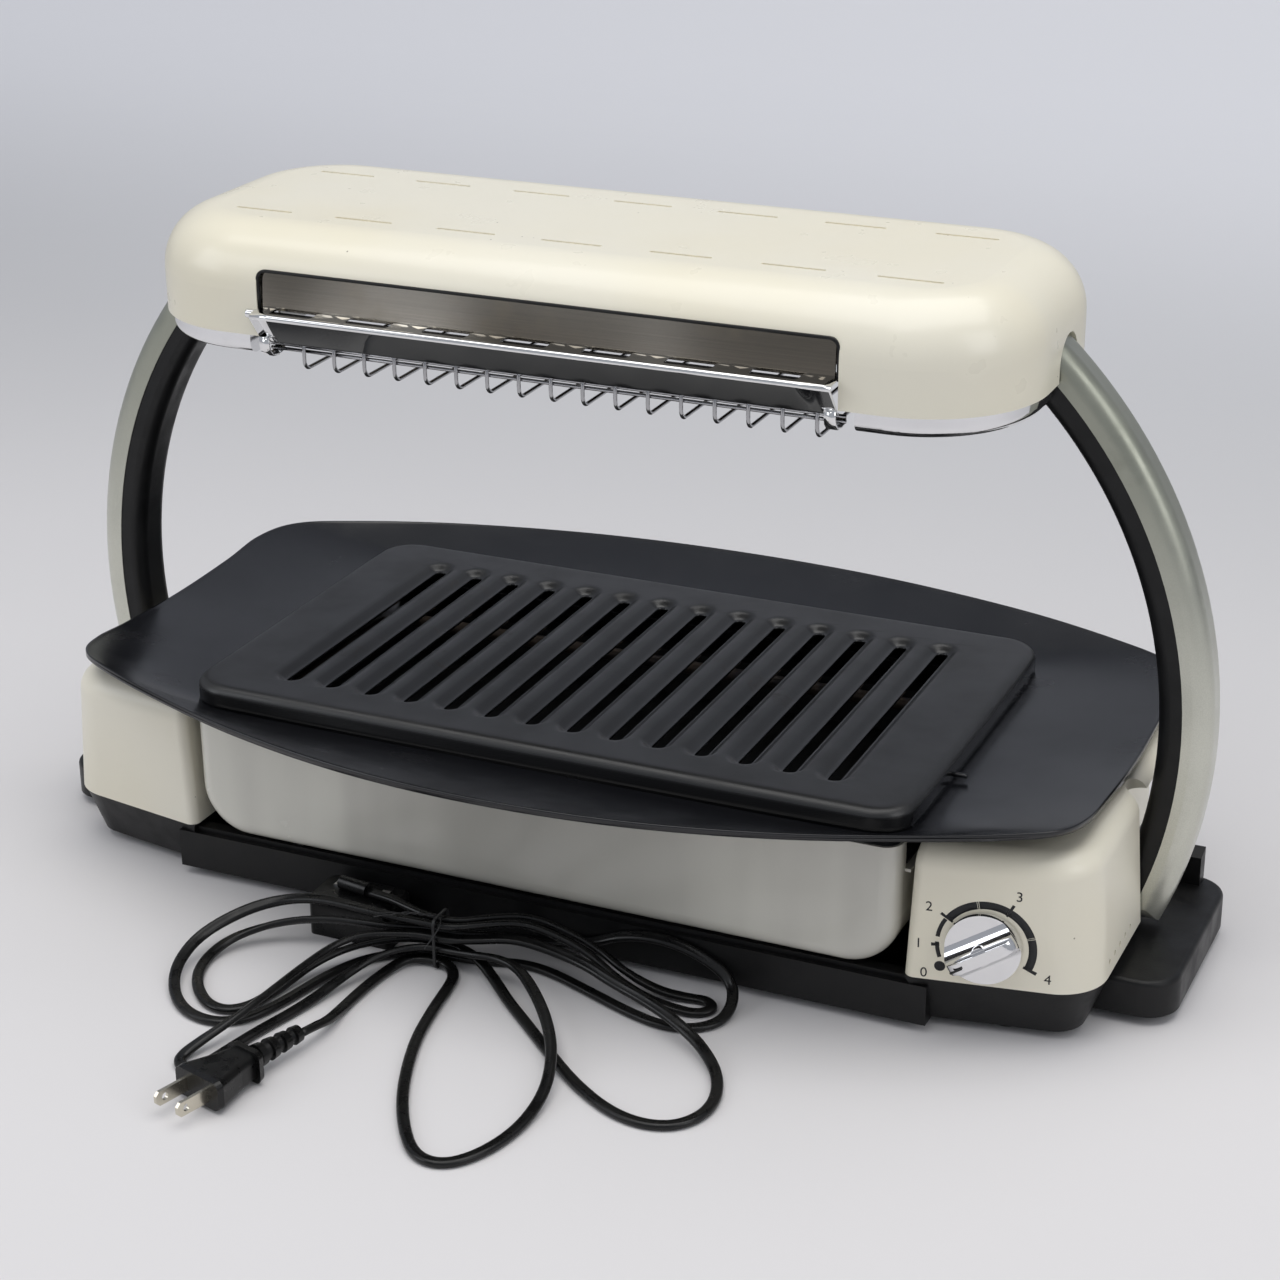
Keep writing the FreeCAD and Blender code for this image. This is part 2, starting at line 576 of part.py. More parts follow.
def make_flap():
    """Mirror flap under the mouth: slotted ledge, bright flap and the curled hooks that hold the wire guard."""
    z = HOOD_LOW + 12.6 - 0.6 - SHEET
    ledge = [(HOOD_FRONT + 4.5, z), (LEDGE_Y, z + 0.4), (FLAP_LOW_Y, FLAP_LOW), (FLAP_LOW_Y + 1.2, FLAP_LOW - 0.9)]
    rail_y, low = WIRE_FRONT + 1.2, RAIL_Z - RAIL_STEP - WIRE_R - SHEET / 2
    hook = [(FLAP_LOW_Y, FLAP_LOW), (FLAP_LOW_Y + 1.6, low + 2.6), (FLAP_LOW_Y + 4.4, low + 0.6),
            (rail_y - 2.0, low), (rail_y + 1.4, low), (rail_y + 3.2, low + 1.6)]
    end = MIRROR_HALF + 1.5
    flap = sheet_strip(ledge, SHEET, -end, end)
    hooks = [sheet_strip(hook, SHEET, x, x + HOOK_W) for x in (-end, end - HOOK_W)]
    mids = [SLOT_SHIFT + (i - (SLOT_N - 1) / 2) * SLOT_PITCH for i in range(SLOT_N)]
    slots = [box(x - SLOT_L / 2, x + SLOT_L / 2, LEDGE_Y + 1.6, HOOD_FRONT - 0.6, z - 3, z + 3) for x in mids]
    return cut_all(fused(flap, hooks), slots)


def hexagon(centre, normal, r):
    """Six-sided wire, flats to flats 2r, square to normal."""
    n = V(*normal).normalize()
    u = V(0, 0, 1).cross(n) if abs(n.z) < 0.9 else V(1, 0, 0)
    u = u.normalize()
    w = n.cross(u)
    size = r / math.cos(math.pi / 6)
    pts = [V(*centre) + u * (size * math.cos(a)) + w * (size * math.sin(a))
           for a in [math.pi / 3 * k for k in range(6)]]
    return Part.makePolygon(pts + [pts[0]])


def make_wire_guard():
    """Heater guard: hooked wires from front to back on straight rails."""
    b = WIRE_BEND
    c = b * (1 - math.sqrt(0.5))
    wires = []
    top = RAIL_Z + 2 * WIRE_R
    for i in range(WIRE_N):
        x = (i - (WIRE_N - 1) / 2) * WIRE_PITCH + WIRE_SHIFT
        p = [V(x, WIRE_FRONT + 9, top), V(x, WIRE_FRONT + 2, top), V(x, WIRE_FRONT + 0.6, top - 0.6),
             V(x, WIRE_FRONT, top - 2), V(x, WIRE_FRONT, WIRE_LOW + b), V(x, WIRE_FRONT + c, WIRE_LOW + c),
             V(x, WIRE_FRONT + b, WIRE_LOW), V(x, WIRE_BACK - b, WIRE_LOW), V(x, WIRE_BACK - c, WIRE_LOW + c),
             V(x, WIRE_BACK, WIRE_LOW + b), V(x, WIRE_BACK, WIRE_REAR_TOP)]
        path = Part.Wire([Part.makeLine(p[0], p[1]), Part.Arc(p[1], p[2], p[3]).toShape(), Part.makeLine(p[3], p[4]),
                          Part.Arc(p[4], p[5], p[6]).toShape(), Part.makeLine(p[6], p[7]),
                          Part.Arc(p[7], p[8], p[9]).toShape(), Part.makeLine(p[9], p[10])])
        wires.append(path.makePipeShell([hexagon(p[0], (0, -1, 0), WIRE_R)], True, False))
    rails = []
    for y, z in ((WIRE_FRONT + 1.2, RAIL_Z), (WIRE_FRONT + 1.2, RAIL_Z - RAIL_STEP), (WIRE_BACK - 1.2, RAIL_Z + 2)):
        rails.append(Part.Face(hexagon((-RAIL_HALF, y, z), (1, 0, 0), WIRE_R)).extrude(V(2 * RAIL_HALF, 0, 0)))
    return fused(rails[0], rails[1:] + wires)


def smooth_outline(z, k):
    """The outline as eight matching edges: four long sides and four corner arcs."""
    def mix(a, b):
        return a + (b - a) * k
    xf, yf = mix(222.0, 170.0), mix(-92.5, -109.0)
    xc, yc = mix(243.5, 188.0), mix(-58.0, -92.0)
    xm, ym = mix(234.5, 187.0), mix(4.0, 4.0)
    xd, yd = mix(241.0, 188.0), mix(72.0, 98.0)
    xb, yb = mix(216.0, 170.0), mix(110.0, 115.0)
    cf = (mix(240.2, 183.2), mix(-77.5, -104.6))
    cb = (mix(234.6, 183.0), mix(96.6, 110.4))
    p = lambda x, y: V(x, y, z)
    e = []
    e.append(Part.Arc(p(-xf, yf), p(0, mix(GUARD_FRONT, -111.0)), p(xf, yf)).toShape())
    e.append(Part.Arc(p(xf, yf), p(*cf), p(xc, yc)).toShape())
    e.append(Part.Arc(p(xc, yc), p(xm, ym), p(xd, yd)).toShape())
    e.append(Part.Arc(p(xd, yd), p(*cb), p(xb, yb)).toShape())
    e.append(Part.Arc(p(xb, yb), p(0, mix(GUARD_BACK, 117.0)), p(-xb, yb)).toShape())
    e.append(Part.Arc(p(-xb, yb), p(-cb[0], cb[1]), p(-xd, yd)).toShape())
    e.append(Part.Arc(p(-xd, yd), p(-xm, ym), p(-xc, yc)).toShape())
    e.append(Part.Arc(p(-xc, yc), p(-cf[0], cf[1]), p(-xf, yf)).toShape())
    return Part.Wire(e)


def recess_ring(z, inset=0.0):
    """Outline of the sunk seat, drawn in by inset."""
    x, y0, y1 = RECESS_HALF - inset, RECESS_FRONT + inset, RECESS_BACK - inset
    return rounded([(-x, y0), (x, y0), (x, y1), (-x, y1)], [RECESS_R - inset] * 4, z)


def make_guard():
    """Black guard plate: a shallow dish with a rolled rim and a sunk seat for the slotted plate."""
    t = PLATE_T
    seat_z = RIM_Z - t - DISH_DEPTH
    low = Part.makeLoft([smooth_outline(RIM_Z - t, 0), smooth_outline(seat_z, 1)], True, True)
    up = low.copy()
    up.translate(V(0, 0, t))
    well = prism(recess_ring(RECESS_FLOOR - t), (0, 0, seat_z + t / 2 - RECESS_FLOOR + t))
    well_in = prism(recess_ring(RECESS_FLOOR, WELL_WALL), (0, 0, RIM_Z - RECESS_FLOOR + 5))
    hole = prism(rounded([(-GUARD_HOLE_X, -GUARD_HOLE_Y), (GUARD_HOLE_X, -GUARD_HOLE_Y),
                          (GUARD_HOLE_X, GUARD_HOLE_Y), (-GUARD_HOLE_X, GUARD_HOLE_Y)], [12] * 4,
                         RECESS_FLOOR - 10), (0, 0, 20))
    lip_out = prism(smooth_outline(RIM_Z - t, 0.004), (0, 0, t + LIP_PROUD))
    lip_in = prism(smooth_outline(RIM_Z - t - 1, LIP_IN), (0, 0, t + 4))
    body = fused(low.cut(up), [well, lip_out.cut(lip_in)])
    return body.cut(well_in).cut(hole)


def make_grill():
    """Slotted plate: turned-down skirt, rounded ribs and long slots that let the fat through."""
    def ring(inset, z):
        x, y0, y1 = GRILL_HALF_L - inset, GRILL_FRONT + inset, GRILL_BACK - inset
        return rounded([(-x, y0), (x, y0), (x, y1), (-x, y1)], [GRILL_CORNER_R - inset] * 4, z)
    body = prism(ring(0, RECESS_FLOOR), (0, 0, GRILL_TOP - RECESS_FLOOR))
    body = body.makeFillet(GRILL_EDGE_R, level_edges(body, GRILL_TOP))
    under = prism(ring(GRILL_WALL, RECESS_FLOOR - 1), (0, 0, GRILL_TOP - 2 * GRILL_WALL - RECESS_FLOOR + 1))
    slots = []
    for i in range(GRILL_SLOTS):
        x = (i - (GRILL_SLOTS - 1) / 2) * GRILL_PITCH
        slots.append(Part.makeLoft([stadium(x, 0, GRILL_SLOT_L, GRILL_SLOT_W, GRILL_TOP - GRILL_VALLEY_D, False),
                                    stadium(x, 0, GRILL_SLOT_L + GRILL_VALLEY_W - GRILL_SLOT_W, GRILL_VALLEY_W,
                                            GRILL_TOP + 0.01, False)], True, True))
        slots.append(prism(stadium(x, 0, GRILL_SLOT_L, GRILL_SLOT_W, GRILL_TOP - 8, False),
                           (0, 0, 8 - GRILL_VALLEY_D)))
    return cut_all(body.cut(under), slots)


def pan_block(inset, top):
    """Rounded box of the pan: big radii at the lower sides, smaller ones at the front and rear."""
    x, y0, y1, z0 = PAN_HALF_L - inset, PAN_FRONT + inset, PAN_BACK - inset, PAN_LOW + inset
    r = PAN_CORNER_R - inset
    wire = rounded([(-x, z0), (x, z0), (x, top), (-x, top)], [r, r, 0, 0], 0)
    wire.rotate(V(0, 0, 0), V(1, 0, 0), 90)
    wire.translate(V(0, y1, 0))
    body = Part.Face(wire).extrude(V(0, y0 - y1, 0))
    ends = [e for e in body.Edges if abs(e.BoundBox.YLength) < 1e-4 and e.BoundBox.ZMin < top - 1]
    return body.makeFillet(PAN_FACE_R - inset, ends)


def make_pan():
    """Cream pan: a tub with a flanged rim and a front face that stands higher, its rim turned back."""
    body = pan_block(0, PAN_FACE_TOP).cut(pan_block(PAN_WALL, PAN_FACE_TOP + 5))
    step = PAN_FRONT + PAN_FACE_R + 3
    body = body.cut(box(-PAN_HALF_L - 1, PAN_HALF_L + 1, step, PAN_BACK + 1, PAN_TOP, PAN_FACE_TOP + 1))
    x, y1, t = PAN_HALF_L + PAN_LIP, PAN_BACK, PAN_WALL
    xi, yi = PAN_HALF_L - t, PAN_FRONT + t
    rim = box(-x, x, step - t, y1, PAN_TOP, PAN_TOP + t)
    hole = prism(rounded([(-xi, yi), (xi, yi), (xi, y1 - t), (-xi, y1 - t)], [PAN_FACE_R - t] * 4, PAN_TOP - 1),
                 (0, 0, 5))
    return fused(body, [rim.cut(hole)])


def make_tray():
    """Black drip tray that hangs in the pan by its flange."""
    mid = (PAN_FRONT + PAN_BACK) / 2

    def ring(x, y, z, r):
        return rounded([(-x, mid - y), (x, mid - y), (x, mid + y), (-x, mid + y)], [r] * 4, z)
    top, taper, t = PAN_TOP + PAN_WALL, 6.0, TRAY_T
    body = Part.makeLoft([ring(TRAY_HALF_L - taper, TRAY_HALF_D - taper, TRAY_LOW, TRAY_R),
                          ring(TRAY_HALF_L, TRAY_HALF_D, top, TRAY_R)], True, True)
    reach = PAN_BACK - mid - 0.5
    front = PAN_FRONT + PAN_WALL + 0.5
    flange = box(-PAN_HALF_L + 0.5, PAN_HALF_L - 0.5, front + 12, mid + reach, top, top + t)
    flange = flange.fuse(box(-PAN_HALF_L + 12, PAN_HALF_L - 12, front, front + 12, top, top + t))
    hollow = Part.makeLoft([ring(TRAY_HALF_L - taper - t, TRAY_HALF_D - taper - t, TRAY_LOW + t, TRAY_R - t),
                            ring(TRAY_HALF_L - t, TRAY_HALF_D - t, top + t + 0.01, TRAY_R - t)], True, True)
    return fused(body, [flange]).cut(hollow)


# Knob frame: the axis points out of the swept front face of the right cover
FACE_LEN = math.hypot(COVER_OUT - COVER_IN, FRONT_SWEEP)
ALONG = V((COVER_OUT - COVER_IN) / FACE_LEN, FRONT_SWEEP / FACE_LEN, 0)
OUT = V(FRONT_SWEEP / FACE_LEN, -(COVER_OUT - COVER_IN) / FACE_LEN, 0)
KNOB_C = V(COVER_IN, -BASE_HALF_D, KNOB_Z) + ALONG * KNOB_ALONG


def on_rear(shape):
    """The same place on the swept rear face."""
    return on_knob(shape).mirror(V(0, 0, 0), V(0, 1, 0))


def on_knob(shape):
    """Place a shape drawn along +Z, with +X along the face, on the knob's axis."""
    m = FreeCAD.Matrix(ALONG.x, 0, OUT.x, KNOB_C.x, ALONG.y, 0, OUT.y, KNOB_C.y, 0, 1, 0, KNOB_C.z, 0, 0, 0, 1)
    placed = shape.copy()
    placed.Placement = FreeCAD.Placement(m).multiply(placed.Placement)
    return placed


def make_knob():
    """Chrome cap with a pointed grip ridge between two scoops, on an insert that grips the spindle."""
    g, h, r = KNOB_GAP, KNOB_H, KNOB_R
    mid = V(r - 1.6, 0, h - 1.9)
    edges = [Part.makeLine(V(0, 0, g), V(r, 0, g)), Part.makeLine(V(r, 0, g), V(r, 0, KNOB_SKIRT_H)),
             Part.Arc(V(r, 0, KNOB_SKIRT_H), mid, V(r - 6, 0, h)).toShape(),
             Part.makeLine(V(r - 6, 0, h), V(0, 0, h)), Part.makeLine(V(0, 0, h), V(0, 0, g))]
    cap = Part.Face(Part.Wire(edges)).revolve(V(0, 0, 0), V(0, 0, 1), 360)
    a, b, floor = GRIP_TOP_W / 2, GRIP_FOOT_W / 2, SCOOP_Z
    scoop = [Part.Arc(V(-r - 1, a, h + 0.1), V(-r - 1, a + (b - a) * 0.3, floor + (h - floor) * 0.3),
                      V(-r - 1, b, floor)).toShape(),
             Part.makeLine(V(-r - 1, b, floor), V(-r - 1, r + 1, floor)),
             Part.makeLine(V(-r - 1, r + 1, floor), V(-r - 1, r + 1, h + 0.1)),
             Part.makeLine(V(-r - 1, r + 1, h + 0.1), V(-r - 1, a, h + 0.1))]
    scoop = Part.Face(Part.Wire(scoop)).extrude(V(2 * r + 2, 0, 0))
    cap = cut_all(cap, [scoop, scoop.mirror(V(0, 0, 0), V(0, 1, 0))])
    cap = cap.cut(cylinder(r - 2, SCOOP_Z - 1.2 - g, (0, 0, g - 0.01), (0, 0, 1)))
    socket_top = h - 3
    cap = cap.cut(cylinder(SPINDLE_R + 1.2, socket_top - g, (0, 0, g), (0, 0, 1)))
    insert = cylinder(SPINDLE_R + 1.2, socket_top - g, (0, 0, g), (0, 0, 1))
    insert = insert.cut(cylinder(SPINDLE_R, socket_top - 1, (0, 0, 0), (0, 0, 1)))
    low = -SWITCH_H / 2 - COVER_WALL
    spindle = cylinder(SPINDLE_R, socket_top - 1 - low, (0, 0, low), (0, 0, 1))
    for piece in (cap, insert, spindle):
        piece.rotate(V(0, 0, 0), V(0, 0, 1), OFF_DEG)
    return cap, insert, spindle


def make_switch():
    """Heat switch behind the cover: round body with a bush through the wall."""
    body = cylinder(SWITCH_R, SWITCH_H, (0, 0, -COVER_WALL - SWITCH_H), (0, 0, 1))
    bush = cylinder(BUSH_R, COVER_WALL + 0.3, (0, 0, -COVER_WALL), (0, 0, 1))
    bore = cylinder(SPINDLE_R + SPINDLE_FIT, SWITCH_H, (0, 0, -SWITCH_H / 2 - COVER_WALL - 0.2), (0, 0, 1))
    return body.fuse(bush).cut(bore)


def make_socket():
    """Shallow socket with two pins, drawn with its mouth towards +Z."""
    half_w, half_h, fit = SOCKET_W / 2, SOCKET_H / 2, 0.1
    body = box(-half_w + fit, half_w - fit, -half_h + fit, half_h - fit, -14, 0)
    body = fused(body, [box(-half_w - 2, half_w + 2, -half_h - 2, half_h + 2, 0, 1.2)])
    body = body.cut(box(-half_w + 4, half_w - 4, -half_h + 4, half_h - 4, -9, 3))
    return fused(body, [cylinder(1.5, 8, (s * 6, 0, -9.5), (0, 0, 1)) for s in (-1, 1)])


def make_lower_heater():
    """Sheath heater bent into one flat loop, both ends towards the control side."""
    x, y, n, z = LOW_HEATER_X, LOW_HEATER_Y, LOW_HEATER_IN, LOW_HEATER_Z
    pts = [(TERMINAL_X, -n), (x, -n), (x, -y), (-x, -y), (-x, y), (x, y), (x, n), (TERMINAL_X, n)]
    path = rounded_path([V(a, b, z) for a, b in pts], [LOW_HEATER_BEND] * 6)
    start = Part.Wire(Part.makeCircle(LOW_HEATER_R, V(TERMINAL_X, -n, z), V(-1, 0, 0)))
    return path.makePipeShell([start], True, False)


# The cord's way from the connector, through the tie again and again, to the plug.
CORD_ROUTE = [
    # lead from the connector, then out to the narrow fold on the right
    (-72, -111.5, 22.4), (-60, -113.5, 22.8), (-48, -117, 22.2), (-38, -119, 21.4), (-24, -119, 21.4),
    (-12, -112, 22.6), (4, -103.5, 22.6), (23, -103, 18), (38, -105, 14), (52, -111, 10), (68, -112, 5),
    (80, -109, 2.7), (89, -107.5, 2.7), (94, -113.5, 2.7), (89, -119.5, 2.7), (79, -119.5, 2.7), (66, -120.5, 5.5),
    (52, -117.5, 9.5), (38, -111.5, 14), (23, -109.5, 18.5), (4, -110, 22.6), (-12, -119, 22.6),
    (-24, -125, 21.4),
    # large outer loop on the left
    (-38, -125, 21.4), (-52, -126.5, 22), (-70, -126, 22.6), (-90, -125.5, 22.6), (-108, -128, 19),
    (-122, -138, 15), (-133, -156, 9.5), (-132, -176, 5), (-122, -193, 2.7), (-108, -204, 2.7), (-93, -206, 2.7),
    (-82, -198, 2.7), (-75.5, -180, 2.7), (-70.5, -155, 2.7), (-63.5, -137, 2.7), (-54, -126.5, 2.7), (-46, -121, 4),
    (-38, -119, 4),
    # rear loop on the right
    (-24, -119, 4), (-12, -115, 2.7), (4, -110.5, 2.7), (18, -112.5, 2.7), (38, -120, 2.7), (63, -130, 2.7),
    (80, -134, 2.7), (93, -131, 2.7), (101, -121, 2.7), (101, -108, 5), (96, -99, 10), (84, -97.6, 17),
    (66, -97.6, 22), (46, -97.6, 20), (30, -97.6, 12), (14, -100, 10), (-2, -105, 12), (-14, -113.5, 15),
    (-24, -119, 15.6),
    # inner loop on the left
    (-38, -119, 15.6), (-48, -122.5, 15.6), (-60, -126.5, 15.8), (-80, -127.5, 15), (-98, -131, 12.5),
    (-112, -137, 9), (-123, -147, 5.5), (-126, -162, 2.7), (-120, -179, 2.7), (-107, -193, 2.7),
    (-95, -196.5, 2.7), (-86.5, -189, 2.7), (-83, -172, 2.7), (-78.5, -152, 5.5), (-69, -137, 8),
    (-57, -127.5, 9.6), (-47, -121.5, 9.8), (-38, -119, 9.8),
    # long loop on the right
    (-24, -119, 9.8), (-12, -122.5, 7.8), (0, -131, 4.6), (12, -142, 2.7), (27, -155, 2.7), (49, -175, 2.7),
    (67, -190, 2.7), (87, -202, 2.7), (104, -205, 2.7), (117, -199, 2.7), (123, -183, 2.7), (117, -162, 2.7),
    (104, -148, 6), (88, -139.5, 10), (71, -131.5, 11.5), (52, -124.5, 12.5), (38, -118.5, 14),
    (22, -115.5, 15.5), (3, -116, 18), (-12, -121, 16.6), (-24, -125, 15.6),
    # long fold on the left, over the two loops
    (-38, -125, 15.6), (-50, -130.5, 16), (-62, -138, 16.5), (-70, -149, 14.5), (-75, -168, 12),
    (-78, -190, 10.5), (-82, -210, 8.5), (-88, -226, 5.5), (-91.5, -234.5, 2.7), (-88, -240.5, 2.7),
    (-82, -240.5, 2.7), (-79, -235, 2.7), (-76.5, -222, 2.7), (-73, -205, 2.7), (-65.5, -178, 2.7), (-59.5, -152, 6),
    (-51, -137, 9.5), (-38, -125, 9.8),
    # front loop
    (-24, -125, 9.8), (-12, -127, 12), (0, -126.5, 12.8), (12, -130.5, 12.5), (28, -146, 10.5),
    (43, -166, 10.3), (53, -184, 9.3), (59, -203, 5), (59.5, -226, 2.7), (54, -248, 2.7), (44, -261, 2.7),
    (31, -260, 2.7), (18, -245, 2.7), (4, -221, 2.7), (-9, -187, 2.7), (-14.5, -160, 2.7), (-17, -141, 2.7),
    (-19.5, -131, 2.7), (-26, -125, 4),
    # lead to the plug
    (-38, -125, 4), (-45, -130, 4), (-48.5, -141, 2.7), (-50, -158, 2.7), (-50, -177, 2.7), (-47.9, -190, 5.5),
    (-48.66, -199.83, 8), (-51, -208, 8),
]
LEAD_POINTS = 4         # points of the route from the connector to the tie
PLUG_POINTS = 8         # and from the tie to the plug

WAIST = [(-38, y, z) for z in (21.4, 15.6, 9.8, 4) for y in (-119, -125)]  # where the passes enter the tie


def cord_path(points):
    """Straight runs joined by tangent arcs, and the arcs' radii."""
    pts = [V(*p) for p in points]
    edges, radii, last = [], [], pts[0]
    for i in range(1, len(pts) - 1):
        p, a, b = pts[i], pts[i - 1], pts[i + 1]
        u, w = a - p, b - p
        cut = 0.45 * min(u.Length, w.Length)
        half = u.getAngle(w) / 2
        u, w = u.normalize(), w.normalize()
        r = cut * math.tan(half)
        start, end = p + u * cut, p + w * cut
        mid = p + (u + w).normalize() * (r / math.sin(half) - r)
        edges += [Part.LineSegment(last, start).toShape(), Part.Arc(start, mid, end).toShape()]
        radii.append(r)
        last = end
    edges.append(Part.LineSegment(last, pts[-1]).toShape())
    return Part.Wire(edges), radii


def make_cord(points):
    """Round cord along a route; prints its length, tightest bend and how well the tube is filled."""
    path, radii = cord_path(points)
    heading = V(*points[1]) - V(*points[0])
    ring = Part.makeCircle(CORD_D / 2, V(*points[0]), heading).discretize(CORD_SIDES + 1)
    section = Part.makePolygon(ring[:-1] + ring[:1])
    tube = path.makePipeShell([section], True, False)
    full = path.Length * Part.Face(section).Area
    print("cord: length %.0f, tightest bend %.1f, volume over section times length %.3f"
          % (path.Length, min(radii), tube.Volume / full))
    return tube


def least_gap(points):
    """Smallest clear distance of the cord to itself, from points along its path."""
    path, _ = cord_path(points)
    step = 2.0
    pts = path.discretize(Distance=step)
    skip = int(3 * CORD_D / step) + 1
    least = min((pts[i] - pts[j]).Length for i in range(len(pts)) for j in range(i + skip, len(pts)))
    print("cord: least gap to itself %.2f" % (least - CORD_D))


def make_tie():
    """Thin wire tie round the waist of the hank, with its two ends twisted on top."""
    lo, hi = min(p[1] for p in WAIST) - 4.2, max(p[1] for p in WAIST) + 4.2
    top = max(p[2] for p in WAIST) + CORD_D / 2 + 0.3
    low = min(p[2] for p in WAIST) - CORD_D / 2 - 0.3
    ring = rounded([(lo, low - TIE_T), (hi, low - TIE_T), (hi, top + TIE_T), (lo, top + TIE_T)], [3] * 4)
    hole = rounded([(lo + TIE_T, low), (hi - TIE_T, low), (hi - TIE_T, top), (lo + TIE_T, top)], [3 - TIE_T] * 4)
    m = FreeCAD.Matrix(0, 0, 1, TIE_X, 1, 0, 0, 0, 0, 1, 0, 0, 0, 0, 0, 1)
    band = prism(ring, (0, 0, 1.2)).cut(prism(hole, (0, 0, 1.2)))
    return band.transformGeometry(m)


def make_connector():
    """Cord connector: a flat block with rounded corners, a lead relief on top and recesses for its contacts."""
    x0, x1, y0, y1, z1 = CONNECTOR
    body = prism(rounded([(x0, y0), (x1, y0), (x1, y1), (x0, y1)], [3, 3, 5, 5], 0), V(0, 0, z1))
    body = body.makeChamfer(1.5, level_edges(body, z1))
    start = V(*CORD_ROUTE[0])
    back = (start - V(*CORD_ROUTE[1])).normalize()
    relief = cylinder(RELIEF_R, RELIEF_L, (start.x, start.y, RELIEF_Z), (back.x, back.y, 0))
    return fused(body, [relief])


def contact_pads():
    x0, x1, y0, y1, z1 = CONNECTOR
    mid, y = (x0 + x1) / 2, y1 - 9
    return [box(mid + s * CONTACT_X - 2, mid + s * CONTACT_X + 2, y - 2, y + 2, z1, z1 + 0.8) for s in (-1, 1)]


def on_plug(shape):
    """Carry a shape drawn along +X from the cord's end to the plug's place and heading."""
    shape.rotate(V(0, 0, 0), V(0, 0, 1), PLUG_TURN)
    shape.translate(V(*CORD_ROUTE[-1]))
    return shape


def make_plug():
    """Two-blade plug: ribbed strain relief, a shoulder and a body that widens to its end face."""
    n, a, b = RELIEF_RIBS, PLUG_NECK_R0, PLUG_NECK_R1
    pts, step = [(0, 0), (0, a)], PLUG_NECK / (2 * n)
    for i in range(n):
        r = a + (b - a) * (i + 1) / n
        x = (2 * i + 1) * step
        pts += [(x, r), (x + step * 0.1, r - 1.2), (x + step * 0.9, r - 1.2), (x + step, r)]
    pts += [(PLUG_NECK + 1, b), (PLUG_NECK + 1, 0)]
    outline = Part.makePolygon([V(x, 0, r) for x, r in pts + pts[:1]])
    relief = Part.Face(outline).revolve(V(0, 0, 0), V(1, 0, 0), 360)

    def station(x, w, h, r):
        ring = rounded([(-w / 2, -h / 2), (w / 2, -h / 2), (w / 2, h / 2), (-w / 2, h / 2)], [r] * 4)
        ring = ring.transformGeometry(FreeCAD.Matrix(0, 0, 1, x, 1, 0, 0, 0, 0, 1, 0, 0, 0, 0, 0, 1))
        return ring
    x0, x1 = PLUG_NECK, PLUG_NECK + PLUG_BODY
    shoulder = Part.makeLoft([station(x0, 17, 13.5, 3), station(x0 + 3, 19, 14, 3)], True, True)
    body = Part.makeLoft([station(x0 + 2.5, 14, 11.5, 3), station(x0 + 12, 18, 12, 3),
                          station(x1 - 3, 25.5, 13, 3), station(x1, 25.0, 12.6, 3)], True, True)
    plug = fused(relief, [shoulder, body])
    blades = []
    for s in (-1, 1):
        y = s * BLADE_GAP / 2
        blade = box(x1 - 6, x1 + BLADE_L, y - BLADE_T / 2, y + BLADE_T / 2, -BLADE_W / 2, BLADE_W / 2)
        blade = blade.makeChamfer(1.6, [e for e in blade.Edges if e.BoundBox.XMin > x1 and e.BoundBox.YLength > 1
                                        and e.BoundBox.ZLength < 1e-6])
        blade = blade.cut(cylinder(1.6, 6, (x1 + BLADE_L - 4.5, y - 3, 0), (0, 1, 0)))
        plug = plug.cut(box(x1 - 6, x1 + 1, y - BLADE_T / 2, y + BLADE_T / 2, -BLADE_W / 2, BLADE_W / 2))
        blades.append(blade)
    return plug, blades


P = {}
cover = make_cover()
P["cover_left"] = mirrored(cover)
knob_hole = on_knob(cylinder(BUSH_R, 2 * COVER_WALL + 4, (0, 0, -COVER_WALL - 2), (0, 0, 1)))
holes = [cylinder(1.3, 20, (COVER_OUT - 10, -62 + 8 * i, SPLIT_Z + 6), (1, 0, 0)) for i in range(5)]
half_w, half_h = SOCKET_W / 2, SOCKET_H / 2
socket_hole = on_rear(box(-half_w, half_w, -half_h, half_h, -COVER_WALL - 2, 5))
rod_holes = [cylinder(LOW_HEATER_R + 1, 2 * COVER_WALL + 8, (COVER_IN - 2, s * LOW_HEATER_IN, LOW_HEATER_Z), (1, 0, 0))
             for s in (-1, 1)]
P["cover_right"] = cut_all(cover, [knob_hole, socket_hole] + rod_holes + holes)
P["inlet_socket"] = on_rear(make_socket())
P["lower_heater"] = make_lower_heater()
low = FOOT_H + BASE_WALL
terminal = box(TERMINAL_X, TERMINAL_X + 12, -24, 24, LOW_HEATER_Z - 10, LOW_HEATER_Z + 6)
leg = box(TERMINAL_X + 8, TERMINAL_X + 11, -20, 20, low, LOW_HEATER_Z - 9)
P["heater_terminal"] = fused(terminal, [leg])
top = LOW_HEATER_Z - LOW_HEATER_R
for y, name in ((-REST_Y, "front"), (REST_Y, "rear")):
    rest = box(-COVER_IN - COVER_DRAFT_IN, -LOW_HEATER_X + 5, y - REST_W / 2, y + REST_W / 2, top - REST_T, top)
    P["heater_rest_" + name] = rest.cut(P["cover_left"])
P["base_frame"] = make_base()
for sx, ex in ((-1, "left"), (1, "right")):
    for sy, ey in ((-1, "front"), (1, "rear")):
        P["foot_%s_%s" % (ey, ex)] = cylinder(FOOT_R, FOOT_H + FOOT_SINK, (sx * FOOT_X, sy * FOOT_Y, 0), (0, 0, 1))

